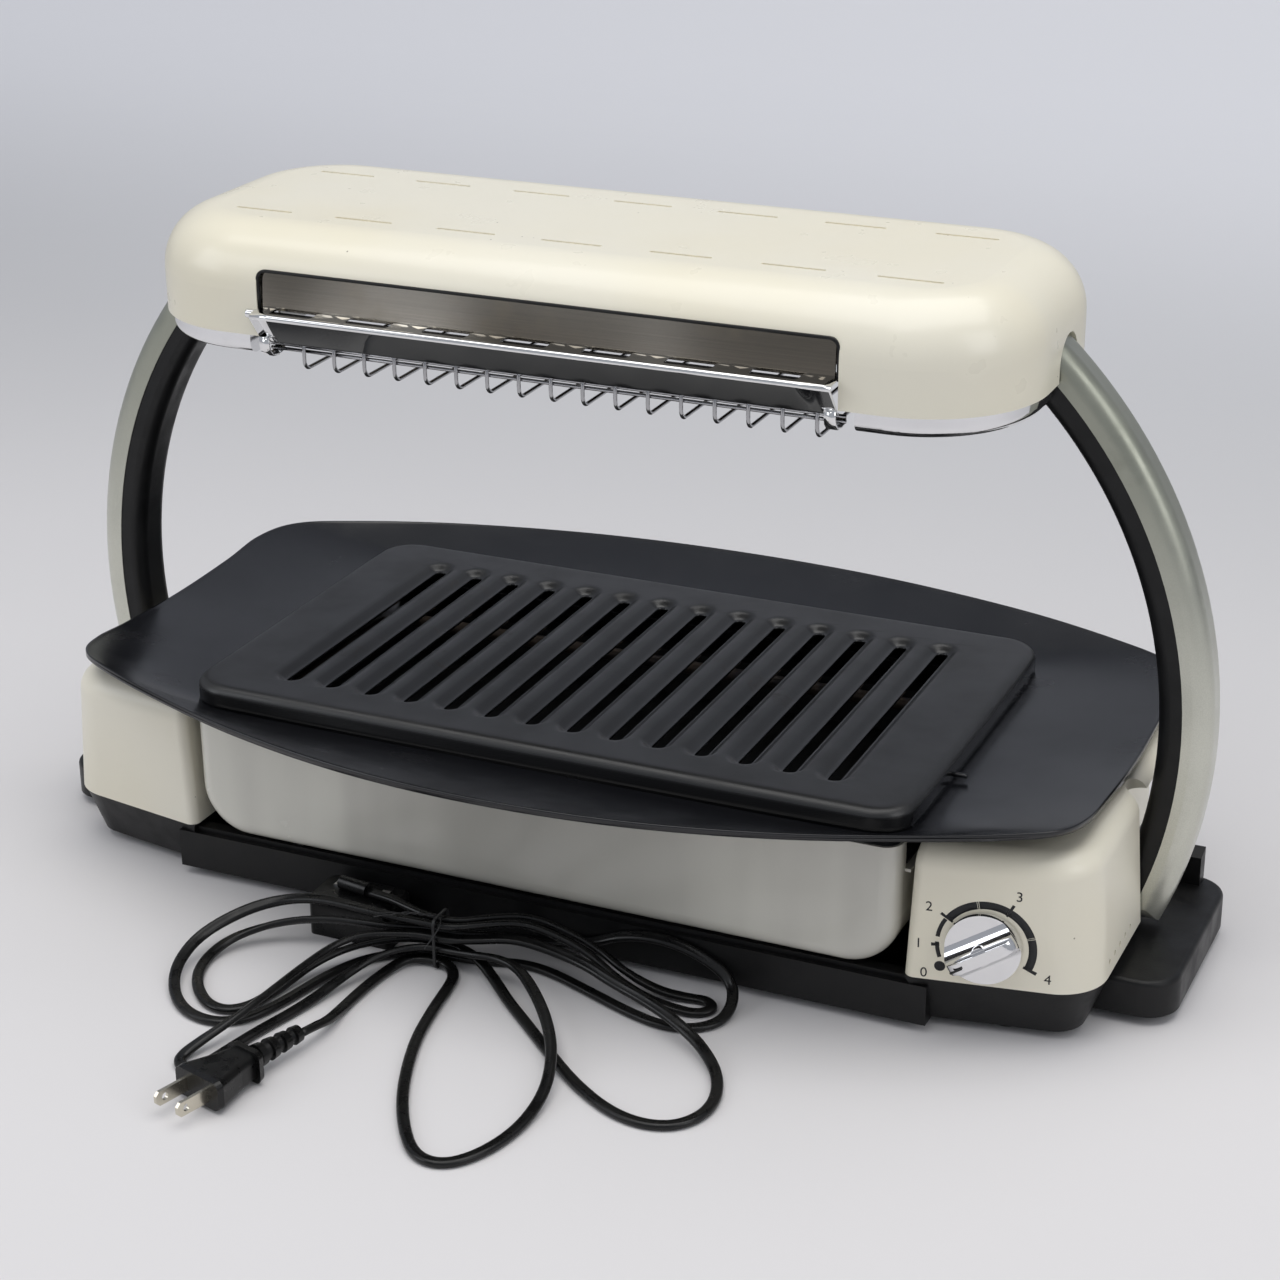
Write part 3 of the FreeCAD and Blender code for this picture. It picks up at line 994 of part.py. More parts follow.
# Hinge: bracket on the deck and a pin through the arm's eye
cheek = box(CHEEK_X, CHEEK_X + CHEEK_T, -CHEEK_HALF_W, CHEEK_HALF_W, DECK_TOP, PIVOT_Z)
cheek = cheek.fuse(cylinder(CHEEK_HALF_W, CHEEK_T, (CHEEK_X, 0, PIVOT_Z), (1, 0, 0)))
flange = box(CHEEK_X, CHEEK_X + 18, -CHEEK_HALF_W, CHEEK_HALF_W, DECK_TOP, DECK_TOP + FLANGE_T)
bracket = fused(cheek, [flange]).cut(cylinder(PIN_R, 20, (CHEEK_X - 5, 0, PIVOT_Z), (1, 0, 0)))
pin_end = ARC_X + math.sqrt((ARC_R + SHELL_T - ARM_WALL) ** 2 - (ARC_Z - PIVOT_Z) ** 2) - 2.0
pin = cylinder(PIN_R, pin_end - CHEEK_X, (CHEEK_X, 0, PIVOT_Z), (1, 0, 0))
P["hinge_bracket_right"], P["hinge_bracket_left"] = bracket, mirrored(bracket)
P["hinge_pin_right"], P["hinge_pin_left"] = pin, mirrored(pin)

shell, inner, core = make_arm()
P["arm_shell_right"], P["arm_shell_left"] = shell, mirrored(shell)
P["arm_inner_right"], P["arm_inner_left"] = inner, mirrored(inner)
P["arm_core_right"], P["arm_core_left"] = core, mirrored(core)

P["hood_cover"] = make_hood_cover()
frame = box(-FRAME_HALF_L, FRAME_HALF_L, -FRAME_HALF_W, FRAME_HALF_W, ARM_TOP_Z, ARM_TOP_Z + FRAME_T)
P["hood_frame"] = cut_all(frame, [cylinder(SCREW_R, 20, (x, y, ARM_TOP_Z - 5), (0, 0, 1)) for x, y in boss_places()])
for (x, y), name in zip(boss_places(), ("left_front", "left_rear", "right_front", "right_rear")):
    P["frame_screw_" + name] = make_screw(x, y)
trim = make_trim()
P["hood_trim_right"], P["hood_trim_left"] = trim, mirrored(trim)
P["reflector"] = make_reflector()
P["mirror_flap"] = make_flap()
P["wire_guard"] = make_wire_guard()
for y, name in zip(HEATER_YS, ("front", "rear")):
    rod = cylinder(HEATER_R, 2 * HEATER_HALF, (-HEATER_HALF, y, HEATER_Z), (1, 0, 0))
    ends = [cylinder(1.6, 9, (s * HEATER_HALF - (9 if s < 0 else 0), y, HEATER_Z), (1, 0, 0)) for s in (-1, 1)]
    P["heater_" + name] = fused(rod, ends)
plate_pts = [(HOOD_FRONT + 13, HEATER_Z - 7), (HOOD_BACK - 13, HEATER_Z - 7), (HOOD_BACK - 25, ARM_TOP_Z - SHEET),
             (HOOD_FRONT + 13, ARM_TOP_Z - SHEET)]
plate = Part.Face(Part.makePolygon([V(HOLDER_X, y, z) for y, z in plate_pts + plate_pts[:1]]))
plate = plate.extrude(V(HOLDER_T, 0, 0))
plate = cut_all(plate, [cylinder(HEATER_R, 10, (HOLDER_X - 4, y, HEATER_Z), (1, 0, 0)) for y in HEATER_YS])
P["heater_holder_right"], P["heater_holder_left"] = plate, mirrored(plate)

P["guard_plate"] = make_guard()
P["slotted_plate"] = make_grill()
P["pan"] = make_pan()
P["drip_tray"] = make_tray()

cap, insert, spindle = make_knob()
P["knob_cap"], P["knob_insert"], P["knob_spindle"] = on_knob(cap), on_knob(insert), on_knob(spindle)
P["heat_switch"] = on_knob(make_switch())

P["cord_connector"] = make_connector()
P["cord_contact_left"], P["cord_contact_right"] = contact_pads()
split = [(TIE_X,) + WAIST[0][1:], (TIE_X,) + WAIST[-1][1:]]
P["cord_lead"] = make_cord(CORD_ROUTE[:LEAD_POINTS] + split[:1])
P["cord_hank"] = make_cord(split[:1] + CORD_ROUTE[LEAD_POINTS:-PLUG_POINTS] + split[1:])
P["cord_plug_lead"] = make_cord(split[1:] + CORD_ROUTE[-PLUG_POINTS:])
least_gap(CORD_ROUTE)
P["cord_tie"] = make_tie()
plug, (blade_left, blade_right) = make_plug()
P["plug_body"], P["plug_blade_left"], P["plug_blade_right"] = map(on_plug, (plug, blade_left, blade_right))

for name, shape in P.items():
    if not shape.isValid() or shape.Volume <= 0:
        print("CHECK", name, shape.isValid(), shape.Volume)
    shape.exportStep("parts/%s.step" % name)
print(len(P), "nodes")
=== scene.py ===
"""Electric table grill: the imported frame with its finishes, guard plate, slotted plate, heater guard, mirror flap,
cord, dial print and studio. Metres, apart from the forms that are drawn in millimetres and then scaled."""
import json
import math
import bpy
import numpy as np
from mathutils import Matrix, Vector


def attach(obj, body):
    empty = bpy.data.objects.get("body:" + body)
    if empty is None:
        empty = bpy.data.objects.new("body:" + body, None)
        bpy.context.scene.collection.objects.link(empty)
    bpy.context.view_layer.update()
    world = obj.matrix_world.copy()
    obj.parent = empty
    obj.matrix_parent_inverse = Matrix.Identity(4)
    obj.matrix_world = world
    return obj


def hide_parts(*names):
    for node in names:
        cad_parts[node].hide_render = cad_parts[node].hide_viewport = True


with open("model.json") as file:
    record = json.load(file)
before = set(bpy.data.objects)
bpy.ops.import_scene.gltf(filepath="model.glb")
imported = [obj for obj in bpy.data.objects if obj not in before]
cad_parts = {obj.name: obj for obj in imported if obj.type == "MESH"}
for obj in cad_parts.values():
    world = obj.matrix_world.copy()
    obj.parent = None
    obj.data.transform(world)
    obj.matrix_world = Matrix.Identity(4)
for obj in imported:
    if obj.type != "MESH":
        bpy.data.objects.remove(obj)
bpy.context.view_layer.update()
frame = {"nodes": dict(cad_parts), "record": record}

MM = 0.001
NODES = frame["nodes"]


# ---------------------------------------------------------------- camera, stage and light

def set_camera():
    """The photograph's view: 24.4 degrees to the right of the front, 22.9 above, leaning half a degree."""
    turn, rise, lean = (math.radians(a) for a in (24.36, 22.92, -0.46))
    ahead = np.array([-math.sin(turn) * math.cos(rise), math.cos(turn) * math.cos(rise), -math.sin(rise)])
    sideways = np.array([math.cos(turn), math.sin(turn), 0.0])
    above = np.cross(sideways, ahead)
    right = math.cos(lean) * sideways + math.sin(lean) * above
    up = math.cos(lean) * above - math.sin(lean) * sideways
    camera = bpy.data.objects.new("camera", bpy.data.cameras.new("camera"))
    camera.data.sensor_width = 36.0
    camera.data.lens = 36.0 * 2718.0 / 1280.0
    camera.data.clip_end = 50.0
    placed = np.eye(4)
    placed[:3, 0], placed[:3, 1], placed[:3, 2] = right, up, -ahead
    placed[:3, 3] = (0.476, -1.029, 0.590)
    bpy.context.scene.collection.objects.link(camera)
    camera.matrix_world = Matrix(placed.tolist())
    bpy.context.scene.camera = camera


def soft_lamp(name, place, aim, wide, tall, watts, tint=(1.0, 1.0, 1.0)):
    """A soft box at place, turned to shine at aim."""
    lamp = bpy.data.lights.new(name, "AREA")
    lamp.shape, lamp.size, lamp.size_y, lamp.energy, lamp.color = "RECTANGLE", wide, tall, watts, tint
    holder = bpy.data.objects.new(name, lamp)
    holder.location = place
    holder.rotation_euler = (Vector(aim) - Vector(place)).to_track_quat("-Z", "Y").to_euler()
    bpy.context.scene.collection.objects.link(holder)


# ---------------------------------------------------------------- shader maths and finishes

class Flow:
    """A value that changes over a surface. Its operators add Math nodes to the finish that it belongs to."""

    def __init__(self, finish, socket):
        self.finish, self.socket = finish, socket

    def _math(self, operation, *values):
        return self.finish.add("ShaderNodeMath", {"operation": operation}, dict(enumerate(values)))

    def __add__(self, other): return self._math("ADD", self, other)
    def __radd__(self, other): return self._math("ADD", other, self)
    def __sub__(self, other): return self._math("SUBTRACT", self, other)
    def __rsub__(self, other): return self._math("SUBTRACT", other, self)
    def __mul__(self, other): return self._math("MULTIPLY", self, other)
    def __rmul__(self, other): return self._math("MULTIPLY", other, self)
    def __gt__(self, other): return self._math("GREATER_THAN", self, other)
    def __lt__(self, other): return self._math("LESS_THAN", self, other)
    def __abs__(self): return self._math("ABSOLUTE", self)

    def band(self, low, high, first=0.0, last=1.0):
        """Eases from first at low to last at high, and stays there outside."""
        return self.finish.add("ShaderNodeMapRange", {"interpolation_type": "SMOOTHSTEP", "clamp": True},
                               {"Value": self, "From Min": low, "From Max": high, "To Min": first, "To Max": last})


class Finish:
    """One material: a Principled shader with plain values of its own, and the nodes that vary the rest."""

    def __init__(self, name, colour, rough, metal=0.0, **own):
        self.mat = bpy.data.materials.new(name)
        self.mat.use_nodes = True
        self.tree = self.mat.node_tree
        self.shader = self.tree.nodes["Principled BSDF"]
        self.place = self.add("ShaderNodeTexCoord", {}, {}, "Object")
        for socket, value in {"Base Color": (*colour, 1.0), "Roughness": rough, "Metallic": metal, **own}.items():
            self.shader.inputs[socket].default_value = value

    def add(self, kind, settings, values, out=0):
        """A node of that kind: its settings first, then a value or a link on each named or numbered socket."""
        node = self.tree.nodes.new(kind)
        for key, value in settings.items():
            if key == "stops":
                ramp = node.color_ramp
                while len(ramp.elements) < len(value):
                    ramp.elements.new(0.5)
                for stop, (at, tone) in zip(ramp.elements, value):
                    stop.position, stop.color = at, (*tone, 1.0)
            else:
                setattr(node, key, value)
        for key, value in values.items():
            if isinstance(value, Flow):
                self.tree.links.new(value.socket, node.inputs[key])
            else:
                node.inputs[key].default_value = value
        return Flow(self, node.outputs[out])

    def axis(self, name):
        """One object coordinate, x, y or z, in metres."""
        return self.add("ShaderNodeSeparateXYZ", {}, {0: self.place}, name.upper())

    def stretched(self, x, y, z):
        """Object coordinates with each axis scaled."""
        return self.add("ShaderNodeVectorMath", {"operation": "MULTIPLY"}, {0: self.place, 1: (x, y, z)})

    def noise(self, scale, detail=3.0, rough=0.5, where=None, twist=0.0):
        """Soft noise from 0 to 1 with that many waves to the metre."""
        return self.add("ShaderNodeTexNoise", {}, {"Vector": where or self.place, "Scale": scale, "Detail": detail,
                                                    "Roughness": rough, "Distortion": twist}, "Fac")

    def specks(self, scale):
        """Distance to the nearest of many scattered points."""
        return self.add("ShaderNodeTexVoronoi", {}, {"Vector": self.place, "Scale": scale}, "Distance")

    def mix(self, share, first, second):
        """Colour from first to second as share goes from 0 to 1."""
        tones = [t if isinstance(t, Flow) else (*t, 1.0) for t in (first, second)]
        return self.add("ShaderNodeMix", {"data_type": "RGBA"}, {0: share, 6: tones[0], 7: tones[1]}, 2)

    def feed(self, **links):
        """Links the shader's own inputs: colour, rough, coat and glow."""
        names = {"colour": "Base Color", "rough": "Roughness", "coat": "Coat Weight", "glow": "Emission Color"}
        for key, value in links.items():
            self.tree.links.new(value.socket, self.shader.inputs[names[key]])
        return self

    def bump(self, height, strength, depth):
        """Relief of depth metres from a height between 0 and 1."""
        relief = self.add("ShaderNodeBump", {}, {"Height": height, "Strength": strength, "Distance": depth})
        self.tree.links.new(relief.socket, self.shader.inputs["Normal"])
        return self


def cream(name, colour, rough, coat):
    """Ivory enamel or moulding: a faint orange peel, slow yellowing, small grey rubs and brown pin specks."""
    f = Finish(name, colour, rough, 0.0, **{"Coat Weight": coat, "Coat Roughness": 0.12, "IOR": 1.5})
    slow = f.noise(9.0, 2.0)
    yellower = tuple(np.array(colour) * (0.985, 0.970, 0.925))
    aged = f.mix(slow.band(0.35, 0.70), colour, yellower)
    rubs = f.noise(46.0, 5.0, 0.6).band(0.66, 0.86) * 0.07
    pins = (f.specks(120.0) < 0.05) * (f.noise(31.0, 1.0) > 0.60)
    soiled = f.mix(rubs, aged, (0.46, 0.43, 0.37))
    f.feed(colour=f.mix(pins * 0.8, soiled, (0.16, 0.13, 0.09)),
           rough=f.noise(70.0, 3.0).band(0.25, 0.8, rough - 0.03, rough + 0.04))
    return f.bump(f.noise(620.0, 2.0), 0.05, 0.00012).mat


def pan_enamel():
    """Ivory enamel of the pan, greyer and darker than the hood's as painted shade under the guard plate:
    faint upright bands, a painted dark reflection of the cord and painted shade in the middle, a glassy coat and dull
    water marks."""
    f = Finish("pan_enamel", (0.66, 0.645, 0.575), 0.26, 0.0, **{"Coat Weight": 0.5, "Coat Roughness": 0.16})
    bands = f.noise(1.0, 2.0, 0.5, f.stretched(26.0, 26.0, 2.0)).band(0.35, 0.7)
    marks = f.noise(30.0, 6.0, 0.7, twist=0.8).band(0.62, 0.80) * 0.3
    # Painted dark reflection of the cord and painted shade under the guard plate: the pan's middle is darker.
    middle = 1 - abs(f.axis("x") - 0.02).band(0.02, 0.11)
    tone = f.mix(bands, (0.55, 0.535, 0.48), (0.68, 0.665, 0.59))
    tone = f.mix(middle * 0.8, tone, (0.40, 0.39, 0.35))
    f.feed(colour=f.mix(marks, tone, (0.42, 0.41, 0.37)), rough=0.20 + bands * 0.06 + marks * 0.4)
    return f.bump(f.noise(300.0, 2.0), 0.10, 0.00012).mat


def black_moulding(name, tone, rough):
    """Black moulding with a spark-eroded grain, dust in it and paler rubbed spots."""
    clean, dusty = (tone, tone, tone * 1.06), (tone * 2.6, tone * 2.5, tone * 2.5)
    f = Finish(name, clean, rough, 0.0, **{"IOR": 1.48, "Specular IOR Level": 0.36})
    dust = f.noise(38.0, 5.0, 0.62).band(0.55, 0.85)
    f.feed(colour=f.mix(dust * 0.5, clean, dusty),
           rough=f.noise(90.0, 3.0).band(0.3, 0.75, rough - 0.06, rough + 0.1))
    return f.bump(f.noise(1500.0, 2.0), 0.35, 0.00012).mat


def silver_paint():
    """Champagne silver: metal flake in a clear coat, with fine sparkle, dulled rubs and painted shade that darkens the
    upper arm.
    """
    f = Finish("silver_paint", (0.60, 0.585, 0.515), 0.36, 0.75, **{"Coat Weight": 0.35, "Coat Roughness": 0.2})
    flake = f.specks(2600.0)
    tone = f.mix(flake.band(0.15, 0.7), (0.64, 0.64, 0.565), (0.57, 0.57, 0.50))
    # Real rubs, plus painted shade: the arm darker from 0.10 m upwards.
    rubs_and_painted_shade = f.noise(24.0, 5.0, 0.65).band(0.62, 0.8) * 0.2 + f.axis("z").band(0.10, 0.24) * 0.9
    f.feed(colour=f.mix(rubs_and_painted_shade, tone, (0.30, 0.31, 0.255)),
           rough=f.noise(60.0, 4.0).band(0.3, 0.8, 0.28, 0.46))
    return f.bump(f.noise(1800.0, 2.0), 0.18, 0.00006).mat


def enamel_guard():
    """Blue-black satin coat on the guard plate: fine grit, wiped smears and light scuffs."""
    clean = (0.0065, 0.0068, 0.0085)
    f = Finish("guard_enamel", clean, 0.22, 0.0, **{"IOR": 1.53})
    smear = f.noise(1.0, 5.0, 0.6, f.stretched(14.0, 40.0, 14.0)).band(0.48, 0.75)
    scuff = f.noise(1.0, 2.0, 0.5, f.stretched(60.0, 900.0, 60.0)).band(0.72, 0.8) * 0.35
    f.feed(colour=f.mix(smear * 0.25 + scuff, clean, (0.018, 0.018, 0.020)),
           rough=0.19 + f.noise(33.0, 5.0).band(0.3, 0.78, 0.0, 0.09) + smear * 0.05)
    return f.bump(f.noise(2100.0, 2.0), 0.12, 0.00006).mat


def enamel_plate():
    """Slotted plate: satin grey-black on top, glossy on the skirt, brown cooking residue on the middle ribs."""
    f = Finish("plate_coating", (0.010, 0.010, 0.0105), 0.30, 0.0, **{"IOR": 1.55, "Coat Roughness": 0.06})
    high = f.axis("z").band(0.0945, 0.0985)
    inside = (1 - abs(f.axis("x")).band(0.105, 0.142)) * (1 - abs(f.axis("y")).band(0.052, 0.078))
    burnt = f.noise(58.0, 7.0, 0.72, twist=0.6).band(0.52, 0.72) * f.noise(13.0, 2.0).band(0.42, 0.62) * inside
    crumbs = f.noise(310.0, 4.0, 0.7).band(0.60, 0.70) * burnt
    bare = f.mix(high, (0.004, 0.004, 0.0045), (0.011, 0.011, 0.0115))
    stained = f.mix(burnt * 0.62, bare, (0.034, 0.022, 0.015))
    f.feed(colour=f.mix(crumbs, stained, (0.085, 0.045, 0.022)),
           rough=high * (0.24 + f.noise(40.0, 5.0).band(0.3, 0.8, 0.0, 0.14) + burnt * 0.25) + 0.09,
           coat=(1 - high) * 0.8)
    return f.bump(f.noise(1700.0, 2.0) * 0.4 + burnt * f.noise(420.0, 5.0), 0.4, 0.00022).mat


def bright_metal(name, colour, rough, brush=None, grain=0.0, smear=0.10):
    """Bare or plated metal: brushed lines along an axis, finger smears and fine pits."""
    f = Finish(name, colour, rough, 1.0)
    wiped = f.noise(34.0, 5.0, 0.65, twist=0.8).band(0.45, 0.8)
    lines = f.noise(1.0, 3.0, 0.6, f.stretched(*brush)) if brush else f.noise(900.0, 2.0)
    dull = tuple(c * 0.82 for c in colour)
    f.feed(colour=f.mix(wiped * 0.4, colour, dull), rough=rough + wiped * smear + (lines - 0.5) * grain)
    return f.bump(lines, 0.10 if brush else 0.04, 0.00005).mat


def reflector_steel():
    """Stainless behind the heaters: drawn lines along its length, broad light and dark reaches of painted reflection,
    brown heat stains.
    """
    f = Finish("stainless", (0.34, 0.32, 0.29), 0.13, 1.0)
    lines = f.noise(1.0, 3.0, 0.55, f.stretched(10.0, 700.0, 700.0))
    heat = f.noise(38.0, 6.0, 0.7, twist=1.5).band(0.60, 0.76) * f.noise(7.0, 1.0).band(0.48, 0.62)
    halo = f.noise(21.0, 4.0, 0.6).band(0.50, 0.75) * 0.45
    # Painted reflection: broad light and dark reaches in the steel's colour.
    sweep = f.noise(1.0, 1.0, 0.4, f.stretched(11.0, 3.0, 6.0)).band(0.36, 0.66)
    reach = f.mix(sweep, (0.17, 0.152, 0.125), (0.52, 0.48, 0.41))
    warm = f.mix(halo, reach, (0.26, 0.22, 0.155))
    f.feed(colour=f.mix(heat, warm, (0.22, 0.11, 0.03)),
           rough=0.10 + halo * 0.25 + heat * 0.25 + (lines - 0.5) * 0.06)
    return f.bump(lines, 0.10, 0.00005).mat


def heater_sheath():
    """Sheath of the heaters: blued and oxidised steel, blotched by heat."""
    f = Finish("heater_sheath", (0.10, 0.088, 0.078), 0.48, 0.7)
    scale = ((0.30, (0.045, 0.040, 0.042)), (0.50, (0.13, 0.10, 0.075)), (0.70, (0.085, 0.082, 0.105)))
    tint = f.add("ShaderNodeValToRGB", {"stops": scale}, {0: f.noise(60.0, 5.0, 0.65)})
    f.feed(colour=tint, rough=f.noise(120.0, 4.0).band(0.3, 0.75, 0.38, 0.62))
    return f.bump(f.noise(900.0, 3.0), 0.3, 0.0001).mat


def soft_black(name, tone, rough, grain):
    """Soft black rubber, cord cover, and the drip tray's near black, which is painted shade: fine mottling and dust."""
    f = Finish(name, (tone, tone, tone), rough, 0.0, **{"IOR": 1.5, "Specular IOR Level": 0.36})
    dust = f.noise(55.0, 6.0, 0.7).band(0.58, 0.82)
    f.feed(colour=f.mix(dust * 0.5, (tone, tone, tone * 1.03), (tone * 3.2, tone * 3.1, tone * 3.0)),
           rough=f.noise(140.0, 4.0).band(0.3, 0.78, rough - 0.07, rough + 0.12))
    return f.bump(f.noise(grain, 3.0), 0.22, 0.0001).mat


def floor_paper():
    """Pale studio paper, warmer in front and darker further back as painted shade, bluer up the sweep, where the camera
    alone sees it glow a little.
    """
    f = Finish("studio_paper", (0.70, 0.70, 0.71), 0.85, 0.0, **{"Emission Strength": 1.0})
    # Painted shade: the paper darker from the front towards the back.
    far = f.mix(f.axis("y").band(-0.1, 1.0), (0.70, 0.685, 0.69), (0.50, 0.50, 0.51))
    seen = f.add("ShaderNodeLightPath", {}, {}, "Is Camera Ray") * f.axis("y").band(0.35, 1.75)
    f.feed(colour=f.mix(f.axis("z").band(0.05, 1.1), far, (0.72, 0.735, 0.79)),
           rough=f.noise(8.0, 4.0).band(0.3, 0.7, 0.8, 0.92),
           glow=f.mix(seen, (0.0, 0.0, 0.0), (0.30, 0.305, 0.33)))
    return f.mat


# Nodes whose finish differs from that of their slot; the pan's is darker and greyer as painted shade. The insert's face
# comes level with the cap's grip.
OWN_FINISH = {"pan": "pan_enamel", "knob_insert": "chrome"}


def finish_frame():
    """Every finish by the record's slot name, put on the nodes that the record gives it to, and the finishes of the
    pieces made here."""
    finishes = {
        "cream_paint": cream("cream_paint", (0.79, 0.755, 0.635), 0.30, 0.25),
        "cream_plastic": cream("cream_plastic", (0.79, 0.755, 0.645), 0.36, 0.10),
        "black_plastic": black_moulding("black_plastic", 0.0042, 0.42),
        "flap_mirror": bright_metal("flap_mirror", (0.80, 0.80, 0.80), 0.03, smear=0.03),
        "wire_steel": bright_metal("wire_steel", (0.42, 0.42, 0.43), 0.14),
        "vent_cream": cream("vent_cream", (0.70, 0.63, 0.42), 0.42, 0.0),
        "pan_enamel": pan_enamel(),
        "dial_ink": black_moulding("dial_ink", 0.018, 0.5),
        "silver_paint": silver_paint(),
        "plate_coating": enamel_plate(),
        "guard_enamel": enamel_guard(),
        "chrome": bright_metal("chrome", (0.80, 0.80, 0.81), 0.07, smear=0.06),
        "stainless": reflector_steel(),
        "mirror_steel": bright_metal("mirror_steel", (0.78, 0.77, 0.76), 0.07, (18.0, 900.0, 900.0), 0.03, 0.08),
        "zinc_steel": bright_metal("zinc_steel", (0.52, 0.52, 0.50), 0.34, None, 0.1, 0.15),
        "heater_sheath": heater_sheath(),
        "foot_rubber": soft_black("foot_rubber", 0.020, 0.75, 1300.0),
        # The drip tray's near black is painted shade, for where it lies in shadow under the slotted plate.
        "tray_aluminium": soft_black("tray_near_black_painted_shade", 0.012, 0.42, 700.0),
        "cord_rubber": soft_black("cord_rubber", 0.0036, 0.30, 1500.0),
        "blade_brass": bright_metal("blade_brass", (0.66, 0.62, 0.52), 0.24, (600.0, 60.0, 600.0), 0.08, 0.14),
        "tie_plastic": soft_black("tie_plastic", 0.025, 0.40, 900.0),
    }
    for row in frame["record"]["subparts"]:
        skin = NODES[row["node"]].data.materials
        skin.clear()
        skin.append(finishes[OWN_FINISH.get(row["node"], row["material_slot"])])
    return finishes


# ---------------------------------------------------------------- forms
# A form is its points, an array of quads and a list of end faces; faces are rows of vertex numbers.

def grid_faces(rings, sides, rings_meet=False, sides_meet=True):
    """Quads between neighbours of a grid: a point, the next of its ring, and the same two of the next ring."""
    i, j = np.meshgrid(np.arange(rings - (not rings_meet)), np.arange(sides - (not sides_meet)), indexing="ij")
    i2, j2 = (i + 1) % rings, (j + 1) % sides
    return np.stack([i * sides + j, i * sides + j2, i2 * sides + j2, i2 * sides + j], -1).reshape(-1, 4)


def rings_form(rings, rings_meet=False):
    """Rings of equally many points as one form without end faces."""
    return np.concatenate(rings), grid_faces(len(rings), len(rings[0]), rings_meet), []


def joined(forms):
    """Several forms as one: the vertex numbers of each are raised by the number of points before it."""
    starts = np.cumsum([0] + [len(form[0]) for form in forms[:-1]])
    points = np.concatenate([form[0] for form in forms])
    quads = np.concatenate([form[1] + start for form, start in zip(forms, starts)])
    return points, quads, [end + start for form, start in zip(forms, starts) for end in form[2]]


def in_metres(form):
    """A form drawn in millimetres, in metres."""
    return form[0] * MM, form[1], form[2]


def faces_in(form, sheet):
    """Whether the faces point the wrong way: the volume of a closed form, summed over triangles as a . (b x c), is
    negative, or the faces of a sheet look down more than up."""
    points, quads, ends = form
    fans = [np.column_stack([np.full(len(end) - 2, end[0]), end[1:-1], end[2:]]) for end in ends]
    a, b, c = (points[corner] for corner in np.concatenate([quads[:, :3], quads[:, (0, 2, 3)], *fans]).T)
    return (np.cross(b - a, c - a)[:, 2].sum() if sheet else (a * np.cross(b, c)).sum()) < 0


def surface(name, points, faces, finish):
    """A smooth mesh object with its place in its mesh."""
    mesh = bpy.data.meshes.new(name)
    mesh.from_pydata(points.tolist(), [], faces)
    mesh.materials.append(finish)
    mesh.polygons.foreach_set("use_smooth", np.full(len(mesh.polygons), True))
    mesh.update()
    made = bpy.data.objects.new(name, mesh)
    bpy.context.scene.collection.objects.link(made)
    return made


def piece(name, form, finish, body, wall=0.0):
    """A form as an object that rides on its body, faces outwards. One with a wall is a sheet: its faces look upwards
    and the wall grows away from them."""
    faces = form[1].tolist() + [end.tolist() for end in form[2]]
    made = surface(name, form[0], [face[::-1] for face in faces] if faces_in(form, wall) else faces, finish)
    if wall:
        sheet = made.modifiers.new("wall", "SOLIDIFY")
        sheet.thickness, sheet.offset = wall, -1.0
    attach(made, body)
    return made


def unit(rows):
    """Each row made one long."""
    return rows / np.linalg.norm(rows, axis=1, keepdims=True)


def tube(line, side, rise, profile):
    """A profile (across, up) carried along a line, with end faces: point = line + across * side + up * rise."""
    rings, sides = len(line), len(profile)
    points = line[:, None] + profile[None, :, :1] * side[:, None] + profile[None, :, 1:] * rise[:, None]
    last = (rings - 1) * sides
    return points.reshape(-1, 3), grid_faces(rings, sides), [np.arange(sides)[::-1], np.arange(last, last + sides)]


def rod(line, radius, sides=10):
    """Round rod: a circle carried along a line, its sides square to the run and to one slanted direction."""
    line = np.asarray(line, float)
    run = unit(np.gradient(line, axis=0))
    side = unit(np.cross(run, (0.31, 0.21, 0.93)))
    around = np.linspace(0, 2 * np.pi, sides, endpoint=False)
    return tube(line, side, np.cross(side, run), radius * np.stack([np.cos(around), np.sin(around)], 1))


def strap(line, side, wide, thick):
    """Flat band along a line: a rectangle, wide along side and thick square to it."""
    side = np.tile(np.asarray(side, float), (len(line), 1))
    rise = np.cross(side, unit(np.gradient(line, axis=0)))
    return tube(line, side, rise, np.array([[-wide, -thick], [wide, -thick], [wide, thick], [-wide, thick]]) / 2)


def arc(across, up, radius, start, end):
    """Seven points round a middle in an upright plane, from one angle to the other in degrees."""
    a = np.radians(np.linspace(start, end, 7))
    return np.stack([across + radius * np.cos(a), up + radius * np.sin(a)], 1)


def round_box(angle, half_x, half_y, middle_y, power):
    """Points of a rounded rectangle: |x/a|^n + |y/b|^n = 1, seen from its middle at each angle."""
    reach = ((np.abs(np.cos(angle)) / half_x) ** power + (np.abs(np.sin(angle)) / half_y) ** power) ** (-1 / power)
    return np.stack([reach * np.cos(angle), middle_y + reach * np.sin(angle)], 1)


def level(plan, height):
    """Points of a plan, all at one height or each at its own."""
    return np.column_stack([plan, np.broadcast_to(height, len(plan))])


# ---------------------------------------------------------------- cord

